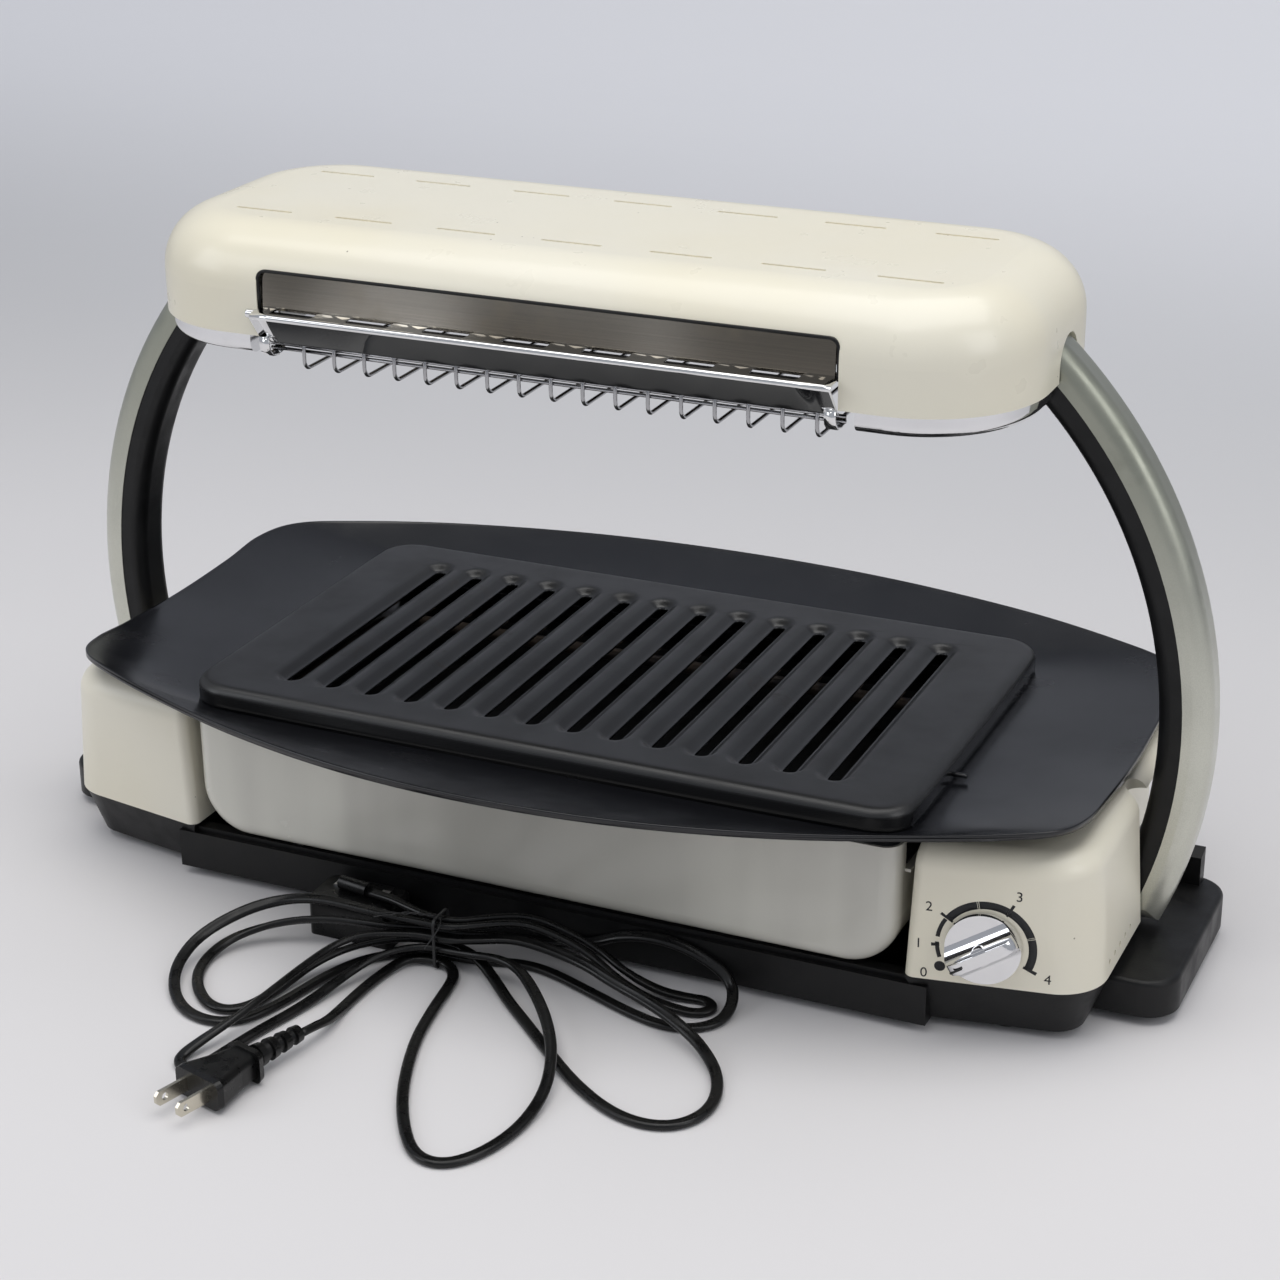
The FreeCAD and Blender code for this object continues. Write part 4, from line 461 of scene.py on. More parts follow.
# The route of the cord, as in the source of the part, its height lowered by what a flat cord lies lower
CORD_ROUTE = (
    (-.072, -.1115, .0224), (-.06, -.1135, .0228), (-.048, -.117, .0222), (-.038, -.119, .0214),
    (-.024, -.119, .0214), (-.012, -.112, .0226), (.004, -.1035, .0226), (.023, -.103, .018),
    (.038, -.105, .014), (.052, -.111, .01), (.068, -.112, .005), (.08, -.109, .0027), (.089, -.1075, .0027),
    (.094, -.1135, .0027), (.089, -.1195, .0027), (.079, -.1195, .0027), (.066, -.1205, .0055),
    (.052, -.1175, .0095), (.038, -.1115, .014), (.023, -.1095, .0185), (.004, -.11, .0226),
    (-.012, -.119, .0226), (-.024, -.125, .0214), (-.038, -.125, .0214), (-.052, -.1265, .022),
    (-.07, -.126, .0226), (-.09, -.1255, .0226), (-.108, -.128, .019), (-.122, -.138, .015),
    (-.133, -.156, .0095), (-.132, -.176, .005), (-.122, -.193, .0027), (-.108, -.204, .0027),
    (-.093, -.206, .0027), (-.082, -.198, .0027), (-.0755, -.18, .0027), (-.0705, -.155, .0027),
    (-.0635, -.137, .0027), (-.054, -.1265, .0027), (-.046, -.121, .004), (-.038, -.119, .004),
    (-.024, -.119, .004), (-.012, -.115, .0027), (.004, -.1105, .0027), (.018, -.1125, .0027),
    (.038, -.12, .0027), (.063, -.13, .0027), (.08, -.134, .0027), (.093, -.131, .0027), (.101, -.121, .0027),
    (.101, -.108, .005), (.096, -.099, .01), (.084, -.0976, .017), (.066, -.0976, .022), (.046, -.0976, .02),
    (.03, -.0976, .012), (.014, -.1, .01), (-.002, -.105, .012), (-.014, -.1135, .015), (-.024, -.119, .0156),
    (-.038, -.119, .0156), (-.048, -.1225, .0156), (-.06, -.1265, .0158), (-.08, -.1275, .015),
    (-.098, -.131, .0125), (-.112, -.137, .009), (-.123, -.147, .0055), (-.126, -.162, .0027),
    (-.12, -.179, .0027), (-.107, -.193, .0027), (-.095, -.1965, .0027), (-.0865, -.189, .0027),
    (-.083, -.172, .0027), (-.0785, -.152, .0055), (-.069, -.137, .008), (-.057, -.1275, .0096),
    (-.047, -.1215, .0098), (-.038, -.119, .0098), (-.024, -.119, .0098), (-.012, -.1225, .0078),
    (0, -.131, .0046), (.012, -.142, .0027), (.027, -.155, .0027), (.049, -.175, .0027), (.067, -.19, .0027),
    (.087, -.202, .0027), (.104, -.205, .0027), (.117, -.199, .0027), (.123, -.183, .0027),
    (.117, -.162, .0027), (.104, -.148, .006), (.088, -.1395, .01), (.071, -.1315, .0115),
    (.052, -.1245, .0125), (.038, -.1185, .014), (.022, -.1155, .0155), (.003, -.116, .018),
    (-.012, -.121, .0166), (-.024, -.125, .0156), (-.038, -.125, .0156), (-.05, -.1305, .016),
    (-.062, -.138, .0165), (-.07, -.149, .0145), (-.075, -.168, .012), (-.078, -.19, .0105),
    (-.082, -.21, .0085), (-.088, -.226, .0055), (-.0915, -.2345, .0027), (-.088, -.2405, .0027),
    (-.082, -.2405, .0027), (-.079, -.235, .0027), (-.0765, -.222, .0027), (-.073, -.205, .0027),
    (-.0655, -.178, .0027), (-.0595, -.152, .006), (-.051, -.137, .0095), (-.038, -.125, .0098),
    (-.024, -.125, .0098), (-.012, -.127, .012), (0, -.1265, .0128), (.012, -.1305, .0125),
    (.028, -.146, .0105), (.043, -.166, .0103), (.053, -.184, .0093), (.059, -.203, .005),
    (.0595, -.226, .0027), (.054, -.248, .0027), (.044, -.261, .0027), (.031, -.26, .0027),
    (.018, -.245, .0027), (.004, -.221, .0027), (-.009, -.187, .0027), (-.0145, -.16, .0027),
    (-.017, -.141, .0027), (-.0195, -.131, .0027), (-.026, -.125, .004), (-.038, -.125, .004),
    (-.045, -.13, .004), (-.0485, -.141, .0027), (-.05, -.158, .0027), (-.05, -.177, .0027),
    (-.0479, -.19, .0055), (-.04866, -.19983, .008), (-.051, -.208, .008),
)
LIES_LOWER = 0.9 * MM
CORD_WIDE = 5.1 * MM
CORD_THICK = 3.4 * MM


def cord_line():
    """The cord's own smooth line: a NURBS spline on the route's points, read back as the points that it follows."""
    curve = bpy.data.curves.new("cord_line", "CURVE")
    curve.dimensions = "3D"
    curve.resolution_u = 6
    spline = curve.splines.new("NURBS")
    spline.points.add(len(CORD_ROUTE) - 1)
    for point, (x, y, z) in zip(spline.points, CORD_ROUTE):
        point.co = (x, y, z - LIES_LOWER, 1.0)
    spline.order_u = 3
    spline.use_endpoint_u = True
    holder = bpy.data.objects.new("cord_line", curve)
    mesh = bpy.data.meshes.new_from_object(holder)
    line = np.empty(len(mesh.vertices) * 3)
    mesh.vertices.foreach_get("co", line)
    bpy.data.objects.remove(holder)
    bpy.data.meshes.remove(mesh)
    return line.reshape(-1, 3)


def lay_cord(finish):
    """Flat twin cord: an oval profile with a groove across its middle, a bell curve deep, carried along the line. Its
    side is level and square to the run, then turns by the sine of the way run where it lies off the table."""
    line = cord_line()
    run = unit(np.gradient(line, axis=0))
    side = unit(np.cross(run, (0.0, 0.0, 1.0)))
    rise = np.cross(side, run)
    way = np.concatenate([[0.0], np.cumsum(np.linalg.norm(np.diff(line, axis=0), axis=1))])
    off_table = np.clip((line[:, 2] - 3.0 * MM) / (6.0 * MM), 0.0, 1.0)
    turn = (off_table * 0.75 * np.sin(way / 0.055))[:, None]
    side, rise = side * np.cos(turn) + rise * np.sin(turn), rise * np.cos(turn) - side * np.sin(turn)
    around = np.linspace(0, 2 * np.pi, 20, endpoint=False)
    across = np.cos(around) * CORD_WIDE / 2
    groove = 1.0 - 0.24 * np.exp(-(across / (0.55 * MM)) ** 2)
    up = np.sign(np.sin(around)) * np.abs(np.sin(around)) ** 0.72 * CORD_THICK / 2 * groove
    cord = piece("cord_twin", tube(line, side, rise, np.stack([across, up], 1)), finish, "base")
    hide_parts("cord_lead", "cord_hank", "cord_plug_lead")


def tie_ends(finish):
    """Twisted ends of the wire tie: two thin wires wound round a falling line as cosine and sine, then spread by the
    cube of the way, and a third wire that drops to the front."""
    t = np.linspace(0, 1, 40)
    knot = np.array([-31.0, -122.5, 23.4])
    trunk = knot + np.stack([-26 * t, -6 * t - 3 * t ** 2, 1.2 * np.sin(np.pi * t) - 0.9 * t], 1)
    wires = []
    for s in (-1, 1):
        wound = np.stack([0 * t, np.cos(26 * t) * s, np.sin(26 * t) * s], 1) * 0.42 * (1 - t ** 3)[:, None]
        spread = np.stack([0 * t, s * 1.8 * t ** 3, 0.6 * t ** 3], 1)
        wires.append(rod(trunk + wound + spread, 0.32, 6))
    drop = knot + np.stack([4 * np.sin(np.pi * t), -14 * t, 1.5 * np.sin(np.pi * t) - 9 * t ** 2], 1)
    wires.append(rod(drop, 0.3, 6))
    ends = piece("tie_ends", in_metres(joined(wires)), finish, "base")


# ---------------------------------------------------------------- guard plate and slotted plate, millimetres

# Right half of the guard plate's rim from the front to the rear: x, y and height
GUARD_RIM = ((0, -151, 100), (62, -146.5, 100), (122, -133.5, 100.3), (176, -114.5, 100.8), (213, -98.5, 101.4),
             (231, -86, 101.2), (237.5, -68, 99.6), (238.5, -42, 97.4), (239.2, 2, 95.6), (238.6, 46, 97.2),
             (238.4, 76, 99.4), (229, 97, 100.6), (203, 112.5, 100.4), (150, 132, 100), (76, 146.5, 100), (0, 151, 100))
RIM_POINTS = 360
RIM_DEEP = 2.9          # how far the edge turns down
RIM_ROUND = 0.9         # radius of the turn
SEAT_TOP = 89.0         # where the slotted plate stands
DISH_POWER = 1.55
DISH_END, DISH_LOWER = 0.985, 0.2       # where the dish stops short of the rim, and how far under it
# Rounded rectangles: half x, half y, middle y and power
SEAT_BOX, HOLE_BOX = (167.0, 95.5, 0.7, 14.0), (150.0, 78.0, 0.0, 14.0)
COLLAR_OUTER, COLLAR_INNER = (166.8, 94.2, -2.3, 16.0), (165.4, 92.8, -2.3, 16.0)
COLLAR_TOP, COLLAR_OVER_PAN, COLLAR_OVER_REAR = 87.6, 84.5, 72.0
GUARD_WALL, PLATE_WALL = 1.5 * MM, 1.6 * MM


def loop_through(points, count):
    """Closed smooth line through the points: each stretch is the cubic set by its two ends and their neighbours."""
    at = np.linspace(0, len(points), count, endpoint=False)
    i = at.astype(int)
    f = (at - i)[:, None]
    a, b, c, d = (points[(i + k) % len(points)] for k in (-1, 0, 1, 2))
    return 0.5 * (2 * b + (c - a) * f + (2 * a - 5 * b + 4 * c - d) * f ** 2 + (3 * b - a - 3 * c + d) * f ** 3)


def guard_top(finish):
    """Guard plate: a dish whose height goes from the seat to the rim as the share of the way out to a power. Rings
    run from the hole to a rounded rectangle round the slotted plate and out to the rim, whose edge turns down."""
    right = np.array(GUARD_RIM, float)
    rim = loop_through(np.concatenate([right, right[-2:0:-1] * (-1, 1, 1)]), RIM_POINTS)
    plan, top = rim[:, :2], rim[:, 2]
    angle = np.arctan2(plan[:, 1], plan[:, 0])
    seat, hole = round_box(angle, *SEAT_BOX), round_box(angle, *HOLE_BOX)
    rings = [level(hole, SEAT_TOP)]
    for share in np.linspace(0.0, DISH_END, 30):
        climb = (top - DISH_LOWER - SEAT_TOP) * share ** DISH_POWER
        rings.append(level(seat + (plan - seat) * share, SEAT_TOP + climb))
    inward = unit(seat - plan)
    for turn in np.radians((35, 60, 85)):
        drop = RIM_ROUND * (1 - np.cos(turn))
        rings.append(level(plan + inward * RIM_ROUND * (1 - np.sin(turn)), top - drop))
    rings.append(level(plan, top - RIM_DEEP))
    plate = piece("guard_top", in_metres(rings_form(rings)), finish, "guard", GUARD_WALL)
    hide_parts("guard_plate")


def seat_collar(finish):
    """Skirt under the guard plate that closes it to the pan: a thin band on a rounded rectangle, deeper at the rear,
    where the pan's edge is low."""
    angle = np.linspace(0, 2 * np.pi, 240, endpoint=False)
    outer, inner = round_box(angle, *COLLAR_OUTER), round_box(angle, *COLLAR_INNER)
    rear = (outer[:, 1] > 84) & (np.abs(outer[:, 0]) < 163.5)
    low = np.where(rear, COLLAR_OVER_REAR, COLLAR_OVER_PAN)
    rings = [level(outer, COLLAR_TOP), level(outer, low), level(inner, low), level(inner, COLLAR_TOP)]
    band = piece("seat_collar", in_metres(rings_form(rings, True)), finish, "guard")


def plate_nub(finish):
    """Small locating pin on the right side of the slotted plate."""
    form = rod([(x, -36.0, 92.0) for x in (169.5, 172.0, 174.5, 176.5)], 1.1)
    nub = piece("plate_nub", in_metres(form), finish, "plate")


SLOT_N, SLOT_PITCH, SLOT_HALF_W = 14, 20.0, 2.8
SLOT_ROUND = 70.45                  # where a slot's straight side ends
VALLEY, VALLEY_DEEP = 5.2, 2.9      # width and depth of the fall towards a slot
PLATE_TOP, PLATE_FOOT = 100.0, 89.2
PLATE_HALF, PLATE_SHIFT, PLATE_CORNER, SHOULDER = np.array([170.5, 98.75]), (0.0, 0.75), 18.0, 4.5
AWAY = np.array([0.35, 0.8, 1.4, 2.1, 2.9, 3.8, 4.8])       # columns and rows beside a slot
END_ROWS = 8.2


def slot_field():
    """The ribs: columns stand on each slot's width and beside it, rows bend round its ends by the root of the half
    width squared less the column's offset squared. Height falls by a cosine of the distance to the slot's edge.
    Gives the grid and its faces without those over the slots."""
    across = SLOT_HALF_W * np.sin(np.linspace(-np.pi / 2, np.pi / 2, 9))
    cell = np.concatenate([-(SLOT_HALF_W + AWAY)[::-1], across, SLOT_HALF_W + AWAY, [SLOT_PITCH / 2]])
    middles = (np.arange(SLOT_N) - (SLOT_N - 1) / 2) * SLOT_PITCH
    x = np.concatenate([[-SLOT_N * SLOT_PITCH / 2], (middles[:, None] + cell).ravel()])
    off = np.concatenate([[SLOT_PITCH / 2], np.tile(cell, SLOT_N)])
    half = np.concatenate([np.linspace(0, SLOT_ROUND - 2, 7), [SLOT_ROUND], SLOT_ROUND + AWAY,
                           [SLOT_ROUND + 6.2, SLOT_ROUND + END_ROWS]])
    rows = np.concatenate([-half[::-1], half[1:]])
    reach = np.abs(rows)
    bent = np.clip((reach - SLOT_ROUND + 2) / 2, 0, 1) * np.clip((SLOT_ROUND + END_ROWS - reach) / END_ROWS, 0, 1)
    bend = np.sqrt(np.clip(SLOT_HALF_W ** 2 - off ** 2, 0, None))
    y = rows[:, None] + (np.sign(rows) * bent)[:, None] * bend[None, :]
    gap = np.hypot(off[None, :], np.clip(np.abs(y) - SLOT_ROUND, 0, None)) - SLOT_HALF_W
    z = PLATE_TOP - VALLEY_DEEP * 0.5 * (1 + np.cos(np.pi * np.clip(gap, 0, VALLEY) / VALLEY))
    in_rows = np.abs(rows[:-1] + rows[1:]) / 2 < SLOT_ROUND
    in_columns = (np.abs(off[:-1] + off[1:]) / 2 < SLOT_HALF_W) & (off[:-1] < off[1:])
    faces = grid_faces(*y.shape, sides_meet=False)[~(in_rows[:, None] & in_columns[None, :]).ravel()]
    return np.stack([np.broadcast_to(x, y.shape), y, z], -1), faces


def plate_outline(edge):
    """Rings that carry the field's border out to the plate's outline: the border's plan is stretched to each ring's
    rounded rectangle. The last rings turn over the shoulder as sine and cosine and drop down the skirt."""
    stretch = edge[:, :2] / np.abs(edge[:, :2]).max(0)
    turn = np.radians((0, 15, 30, 45, 60, 75, 90))
    inset = np.concatenate([[18.4, 12.0, 6.5], SHOULDER * (1 - np.sin(turn)), [0, 0]])
    drop = np.concatenate([[0, 0, 0], SHOULDER * (1 - np.cos(turn)), [7.5, PLATE_TOP - PLATE_FOOT]])
    rings = []
    for inward, down in zip(inset, drop):
        size, corner = PLATE_HALF - inward, max(PLATE_CORNER - inward, 1.0)
        plan = stretch * size
        over = np.abs(plan) - (size - corner)
        rounded = np.sign(plan) * (size - corner + unit(over) * corner)
        plan = np.where((over > 0).all(1)[:, None], rounded, plan)
        rings.append(level(plan + PLATE_SHIFT, PLATE_TOP - down))
    return rings


def slotted_top(finish):
    """Slotted plate: the field of ribs and the rings round it as one sheet, without the points that no face uses."""
    field, faces = slot_field()
    number = np.arange(field.shape[0] * field.shape[1]).reshape(field.shape[:2])
    border = np.concatenate([number[0, :-1], number[:-1, -1], number[-1, :0:-1], number[:0:-1, 0]])
    field = field.reshape(-1, 3)
    rings = plate_outline(field[border])
    ring_number = np.concatenate([border, len(field) + np.arange(len(rings) * len(border))])
    around = ring_number[grid_faces(len(rings) + 1, len(border))[:, ::-1]]
    points, quads = np.concatenate([field] + rings), np.concatenate([faces, around])
    used, quads = np.unique(quads, return_inverse=True)
    plate = piece("slotted_top", in_metres((points[used], quads.reshape(-1, 4), [])), finish, "plate", PLATE_WALL)
    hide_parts("slotted_plate")


# ---------------------------------------------------------------- hood, millimetres

WIRE_N, WIRE_PITCH, WIRE_SHIFT, WIRE_R, WIRE_BEND = 17, 14.6, 2.6, 0.85, 4.2
WIRE_FRONT, WIRE_BACK, WIRE_LOW, WIRE_REAR_TOP = -70.5, 56.3, 244.7, 266.0
RAIL_Y, RAIL_ZS, RAIL_HALF, RAIL_R = -69.1, (254.6, 252.5), 131, 0.8


def round_wires(finish):
    """Heater guard: one side view for every wire, which hooks over the front rails, drops, turns in an arc, runs back
    and up, each leaning a little its own way, and three rails across."""
    hook = arc(RAIL_Y + 0.1, RAIL_ZS[0], 1.5, 15, 180)
    front = arc(WIRE_FRONT + WIRE_BEND, WIRE_LOW + WIRE_BEND, WIRE_BEND, 180, 270)
    back = arc(WIRE_BACK - WIRE_BEND, WIRE_LOW + WIRE_BEND, WIRE_BEND, 270, 360)
    side_view = np.concatenate([hook, front, back, [[WIRE_BACK, WIRE_REAR_TOP]]])
    forms = []
    for i in range(WIRE_N):
        x = (i - WIRE_N // 2) * WIRE_PITCH + WIRE_SHIFT
        lean = (i * 37 % 11 - 5) * 0.05
        forms.append(rod(np.column_stack([x + lean * np.linspace(0, 1, len(side_view)), side_view]), WIRE_R))
    for y, z in [(RAIL_Y, z) for z in RAIL_ZS] + [(WIRE_BACK - 1.6, 257.4)]:
        forms.append(rod([(x, y, z) for x in np.linspace(-RAIL_HALF, RAIL_HALF, 5)], RAIL_R))
    wires = piece("round_wires", in_metres(joined(forms)), finish, "hood")
    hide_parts("wire_guard")


# Side view of the mirror flap, y and z: ledge, front lip, face that leans back, foot. Slots run from row 2 to row 5.
FLAP_VIEW = np.array([(-74.6, 272.3), (-75.6, 272.0), (-76.4, 271.9), (-77.6, 271.85), (-82.4, 271.6), (-83.6, 271.5),
                      (-85.3, 271.3), (-86.0, 270.9), (-86.1, 270.2), (-85.8, 269.8), (-77.6, 258.7), (-77.2, 258.1),
                      (-76.6, 257.7), (-75.9, 258.0)])
FLAP_SLOT_ROWS = (2, 5)
FLAP_HALF, FLAP_WALL = 130.5, 0.6 * MM
LEDGE_SLOTS, LEDGE_SLOT_HALF, LEDGE_PITCH, LEDGE_SHIFT = 7, 10.4, 36.3, -3.7
LEDGE_MIDDLES = LEDGE_SHIFT + (np.arange(LEDGE_SLOTS) - (LEDGE_SLOTS - 1) / 2) * LEDGE_PITCH
# Side view of the hook at each end of the flap, y and z
HOOK_VIEW = np.array([(-79.4, 260.0), (-79.6, 256.6), (-78.8, 253.8), (-76.6, 251.6), (-72.0, 250.9), (-68.8, 251.3),
                      (-66.9, 253.2)])
HOOK_X = 128.0


def mirror_ledge(finish):
    """Mirror flap: its side view carried along x. Five columns crowd at each end of a slot, by a sine, and draw in on
    all rows but the slot's own middle ones, which rounds its ends. The faces over the slots are left out."""
    end = LEDGE_SLOT_HALF - 2.2 + 2.2 * np.sin(np.linspace(0, np.pi / 2, 5))
    columns = (LEDGE_MIDDLES[:, None] + np.concatenate([-end[::-1], end])).ravel()
    x = np.concatenate([[-FLAP_HALF], columns, [FLAP_HALF]])
    draw = np.concatenate([[0], np.tile(np.repeat((0.88, -0.88), 5), LEDGE_SLOTS), [0]])
    row = np.arange(len(FLAP_VIEW))
    first, last = FLAP_SLOT_ROWS
    ends = (row <= first) | (row >= last)
    shape = (len(row), len(x))
    grid = np.stack([x[None, :] + draw[None, :] * ends[:, None], np.broadcast_to(FLAP_VIEW[:, :1], shape),
                     np.broadcast_to(FLAP_VIEW[:, 1:], shape)], -1)
    in_rows = (row[:-1] >= first) & (row[:-1] < last)
    middle = (x[:-1] + x[1:]) / 2
    in_columns = np.abs(middle[:, None] - LEDGE_MIDDLES[None, :]).min(1) < LEDGE_SLOT_HALF
    faces = grid_faces(*shape, sides_meet=False)[~(in_rows[:, None] & in_columns[None, :]).ravel()]
    flap = piece("mirror_ledge", in_metres((grid.reshape(-1, 3), faces, [])), finish, "hood", FLAP_WALL)
    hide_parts("mirror_flap")


def ledge_rolls(finish):
    """Rolled tabs on the ledge between its slots and at both ends, and the hook under each end."""
    between = [(middle + LEDGE_PITCH / 2, 7.4) for middle in LEDGE_MIDDLES[:-1]]
    forms = []
    for x, half in between + [(LEDGE_MIDDLES[0] - 17.2, 5.0), (LEDGE_MIDDLES[-1] + 15.5, 5.0)]:
        stations = x + np.array([-half, -half + 0.4, 0.0, half - 0.4, half])
        forms.append(rod([(station, -80.8, 270.2) for station in stations], 2.1, 14))
    for x in (-HOOK_X, HOOK_X):
        forms.append(strap(np.column_stack([np.full(len(HOOK_VIEW), x), HOOK_VIEW]), (1, 0, 0), 4.8, 0.8))
    curls = piece("ledge_rolls", in_metres(joined(forms)), finish, "hood")


def ledge_backing(finish):
    """Painted shade: a dark strip close under the ledge, seen through its slots."""
    line = np.array([(x, -80.1, 270.3) for x in np.linspace(-126.0, 126.0, 5)])
    strip = piece("ledge_backing", in_metres(strap(line, (0, 1, 0), 8.4, 0.4)), finish, "hood")


def mouth_gap(finish):
    """Painted shade in the gap between the hood's mouth and the reflector: a thin dark strip up one end, round the
    corner, along the top and down the other."""
    corner, half, top, foot, depth = 4.0, 130.6, 288.6, 271.5, -77.9
    left = arc(-half + corner, top - corner, corner, 180, 90)
    edge = np.concatenate([[(-half, foot)], left, (left * (-1, 1))[::-1], [(half, foot)]])
    line = np.insert(edge, 1, depth, axis=1)
    gap = piece("mouth_gap", in_metres(strap(line, (0, 1, 0), 1.0, 1.2)), finish, "hood")


VENT_HALF_RUN, VENT_R, VENT_PITCH, VENT_ROWS = 12.9, 0.9, 49.0, (-43.0, 29.0)
VENT_LOW, VENT_HIGH = 303.2, 304.35


def vent_floors(finish):
    """Floor of each vent slot in the hood: a stadium, two half circles apart by the run, a little under the skin."""
    a = np.radians(np.linspace(0, 180, 9))
    cap = np.stack([VENT_HALF_RUN + VENT_R * np.sin(a), VENT_R * np.cos(a)], 1)
    side, rise = np.tile((1.0, 0.0, 0.0), (2, 1)), np.tile((0.0, 1.0, 0.0), (2, 1))
    forms = [tube(np.array([(i * VENT_PITCH, y, z) for z in (VENT_LOW, VENT_HIGH)]), side, rise,
                  np.concatenate([cap, -cap])) for y in VENT_ROWS for i in range(-3, 4)]
    floors = piece("vent_floors", in_metres(joined(forms)), finish, "hood")


# ---------------------------------------------------------------- control face, millimetres

FACE_RUN = np.array([78.0, 13.0, 0.0]) / math.hypot(78.0, 13.0)
FACE_OUT = np.array([13.0, -78.0, 0.0]) / math.hypot(78.0, 13.0)
DIAL_MIDDLE = np.array([171.0, -97.0, 45.0]) + 33.8 * FACE_RUN
PRINT_LOW, PRINT_HIGH = -0.02, 0.07
# Inner and outer radius, then the angles where each stretch of the scale starts and ends
DIAL_ARCS = ((17.4, 20.8, 143.0, 102.9), (17.4, 20.8, 100.1, 64.3), (17.4, 20.8, 61.0, 19.8),
             (17.4, 20.8, 17.0, -23.3), (19.1, 20.8, 173.2, 147.2), (19.1, 20.8, 200.5, 180.2),
             (17.4, 20.8, 102.2, 100.9), (17.4, 20.8, 19.1, 17.8))
# Inner and outer radius, then the angle and half width of each mark
DIAL_MARKS = ((17.0, 23.0, 144.7, 1.6), (17.0, 23.0, 62.6, 1.6), (17.0, 23.0, -24.9, 1.9), (19.0, 22.4, -176.3, 1.9))
# Angle and distance of each number, from 0 up
DIAL_NUMBERS = ((-148.8, 29.2), (-176.3, 27.6), (146.7, 28.4), (62.6, 27.4), (-24.9, 28.2))
OFF_ANGLE, OFF_REACH, OFF_R = -148.8, 21.6, 2.3
NUMBER_SIZE, NUMBER_HALF_DEEP = 6.2, 0.045
POINTER_MIDDLE, POINTER_ENDS, POINTER_HALF, POINTER_LOW, POINTER_HIGH = (-0.8, 0.6), (8.0, 13.6), 0.5, 13.55, 13.66


def heading(degrees):
    """Flat direction or directions at an angle."""
    a = np.radians(degrees)
    return np.stack([np.cos(a), np.sin(a)], -1)


def on_face(flat, lift):
    """Flat points (right, up) about the dial's middle, carried to the control face, lift above it."""
    flat = np.asarray(flat, float)
    return DIAL_MIDDLE + flat[:, :1] * FACE_RUN + flat[:, 1:] * (0, 0, 1.0) + np.reshape(lift, (-1, 1)) * FACE_OUT


def pad(near, far, low, high):
    """A flat patch on the control face between two equal rows of points, from one height to another."""
    ring = [on_face(row, np.full(len(row), lift)) for row, lift in ((near, low), (near, high), (far, high), (far, low))]
    last = 4 * len(near)
    return np.stack(ring, 1).reshape(-1, 3), grid_faces(len(near), 4), [np.arange(4)[::-1], np.arange(last - 4, last)]


def arc_pad(inner, outer, start, end):
    """A printed stretch of a ring between two angles."""
    around = heading(np.linspace(start, end, max(3, int(abs(end - start) / 4))))
    return pad(around * inner, around * outer, PRINT_LOW, PRINT_HIGH)


def dial_number(number, angle, reach, finish):
    """A plain number printed on the control face."""
    text = bpy.data.curves.new("dial_number", "FONT")
    text.body, text.size, text.extrude = str(number), NUMBER_SIZE, NUMBER_HALF_DEEP
    text.align_x, text.align_y = "CENTER", "CENTER"
    holder = bpy.data.objects.new("dial_number", text)
    mesh = bpy.data.meshes.new_from_object(holder)
    bpy.data.objects.remove(holder)
    flat = np.empty(len(mesh.vertices) * 3)
    mesh.vertices.foreach_get("co", flat)
    flat = flat.reshape(-1, 3)
    placed = on_face(flat[:, :2] + reach * heading(angle), flat[:, 2] + NUMBER_HALF_DEEP + PRINT_LOW)
    mesh.vertices.foreach_set("co", (placed * MM).ravel())
    mesh.name = "dial_number_%d" % number
    mesh.materials.append(finish)
    made = bpy.data.objects.new(mesh.name, mesh)
    bpy.context.scene.collection.objects.link(made)
    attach(made, "base")


def dial_print(finish):
    """The dial: a thick scale and a thin one round the knob, marks across them, a blob at off and plain numbers."""
    forms = [arc_pad(*stretch) for stretch in DIAL_ARCS]
    forms += [arc_pad(inner, outer, angle + half, angle - half) for inner, outer, angle, half in DIAL_MARKS]
    half_circle, off = OFF_R * heading(np.linspace(0, 180, 13)), OFF_REACH * heading(OFF_ANGLE)
    forms.append(pad(off + half_circle, off + half_circle * (1, -1), PRINT_LOW, PRINT_HIGH))
    scale = piece("dial_scale", in_metres(joined(forms)), finish, "base")
    for number, (angle, reach) in enumerate(DIAL_NUMBERS):
        dial_number(number, angle, reach, finish)


def knob_pointer(finish):
    """Short dark line on the grip's ridge, at the end that points to off."""
    ends = np.array(POINTER_MIDDLE) + np.outer(POINTER_ENDS, heading(OFF_ANGLE))
    across = heading(OFF_ANGLE + 90) * POINTER_HALF
    form = pad(ends - across, ends + across, POINTER_LOW, POINTER_HIGH)
    mark = piece("knob_pointer", in_metres(form), finish, "knob")


# ---------------------------------------------------------------- the whole

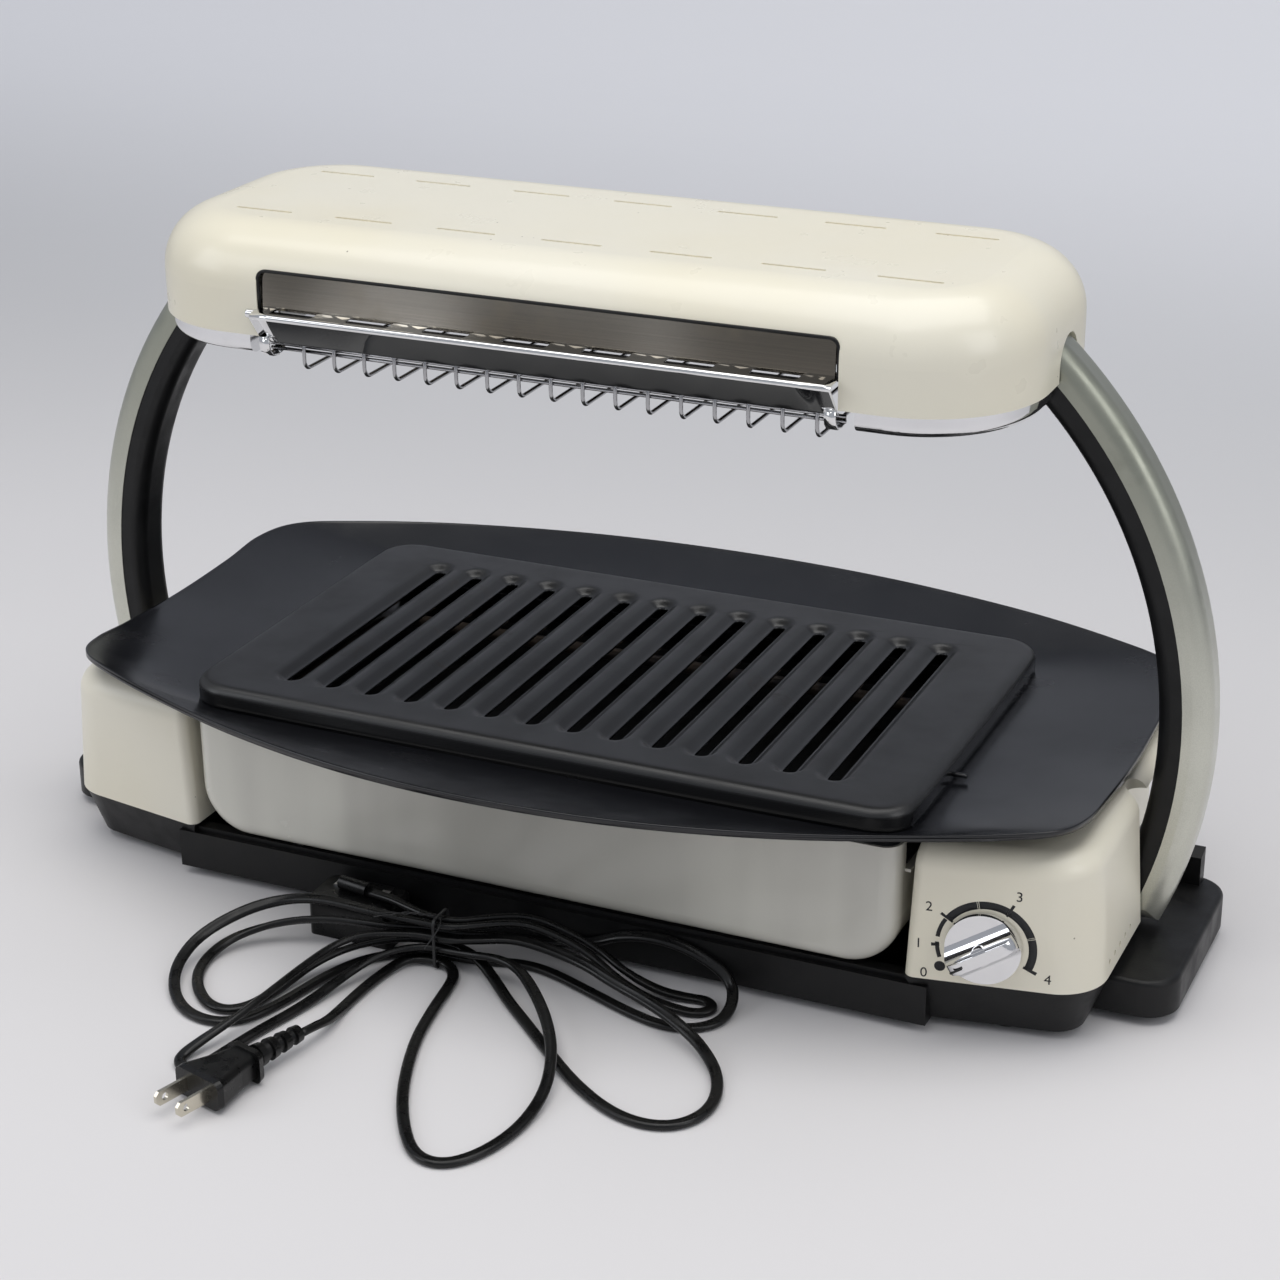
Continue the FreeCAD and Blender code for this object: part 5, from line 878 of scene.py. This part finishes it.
def dress():
    """Every finish and every piece made here."""
    finishes = finish_frame()
    lay_cord(finishes["cord_rubber"])
    guard_top(finishes["guard_enamel"])
    seat_collar(finishes["guard_enamel"])
    plate_nub(finishes["guard_enamel"])
    slotted_top(finishes["plate_coating"])
    round_wires(finishes["wire_steel"])
    mirror_ledge(finishes["flap_mirror"])
    ledge_rolls(finishes["flap_mirror"])
    ledge_backing(finishes["black_plastic"])
    mouth_gap(finishes["black_plastic"])
    vent_floors(finishes["vent_cream"])
    dial_print(finishes["dial_ink"])
    knob_pointer(finishes["dial_ink"])
    tie_ends(finishes["tie_plastic"])


def studio():
    """Pale paper that runs back from the object and bends up in a quarter circle, one large soft box above, a fill
    from the left and a weak one from the right."""
    near, far, bend_r, top, half = -1.7, 1.6, 0.9, 4.0, 5.0
    bend = np.linspace(0, np.pi / 2, 16)[1:]
    sweep = np.concatenate([np.stack([np.linspace(near, far, 12), np.zeros(12)], 1),
                            np.stack([far + bend_r * np.sin(bend), bend_r - bend_r * np.cos(bend)], 1),
                            [[far + bend_r, top]]])
    across = np.tile(np.linspace(-half, half, 3), len(sweep))
    points = np.column_stack([across, np.repeat(sweep, 3, axis=0)])
    paper = surface("paper_sweep", points, grid_faces(len(sweep), 3, sides_meet=False).tolist(), floor_paper())

    world = bpy.data.worlds.new("studio")
    bpy.context.scene.world = world
    world.use_nodes = True
    background = world.node_tree.nodes["Background"].inputs
    background["Color"].default_value = (0.88, 0.92, 1.0, 1.0)
    background["Strength"].default_value = 0.42
    soft_lamp("overhead", (0.1, -0.1, 1.9), (0.0, 0.0, 0.1), 2.4, 1.8, 29.0, (1.0, 0.985, 0.96))
    soft_lamp("left_fill", (-1.7, -1.3, 1.2), (0.0, 0.0, 0.15), 1.2, 1.2, 9.0, (0.95, 0.97, 1.0))
    soft_lamp("right_fill", (1.9, -0.6, 1.1), (0.0, 0.0, 0.15), 1.0, 1.2, 7.0)


dress()
studio()
set_camera()
bpy.context.scene.view_settings.view_transform = "Standard"
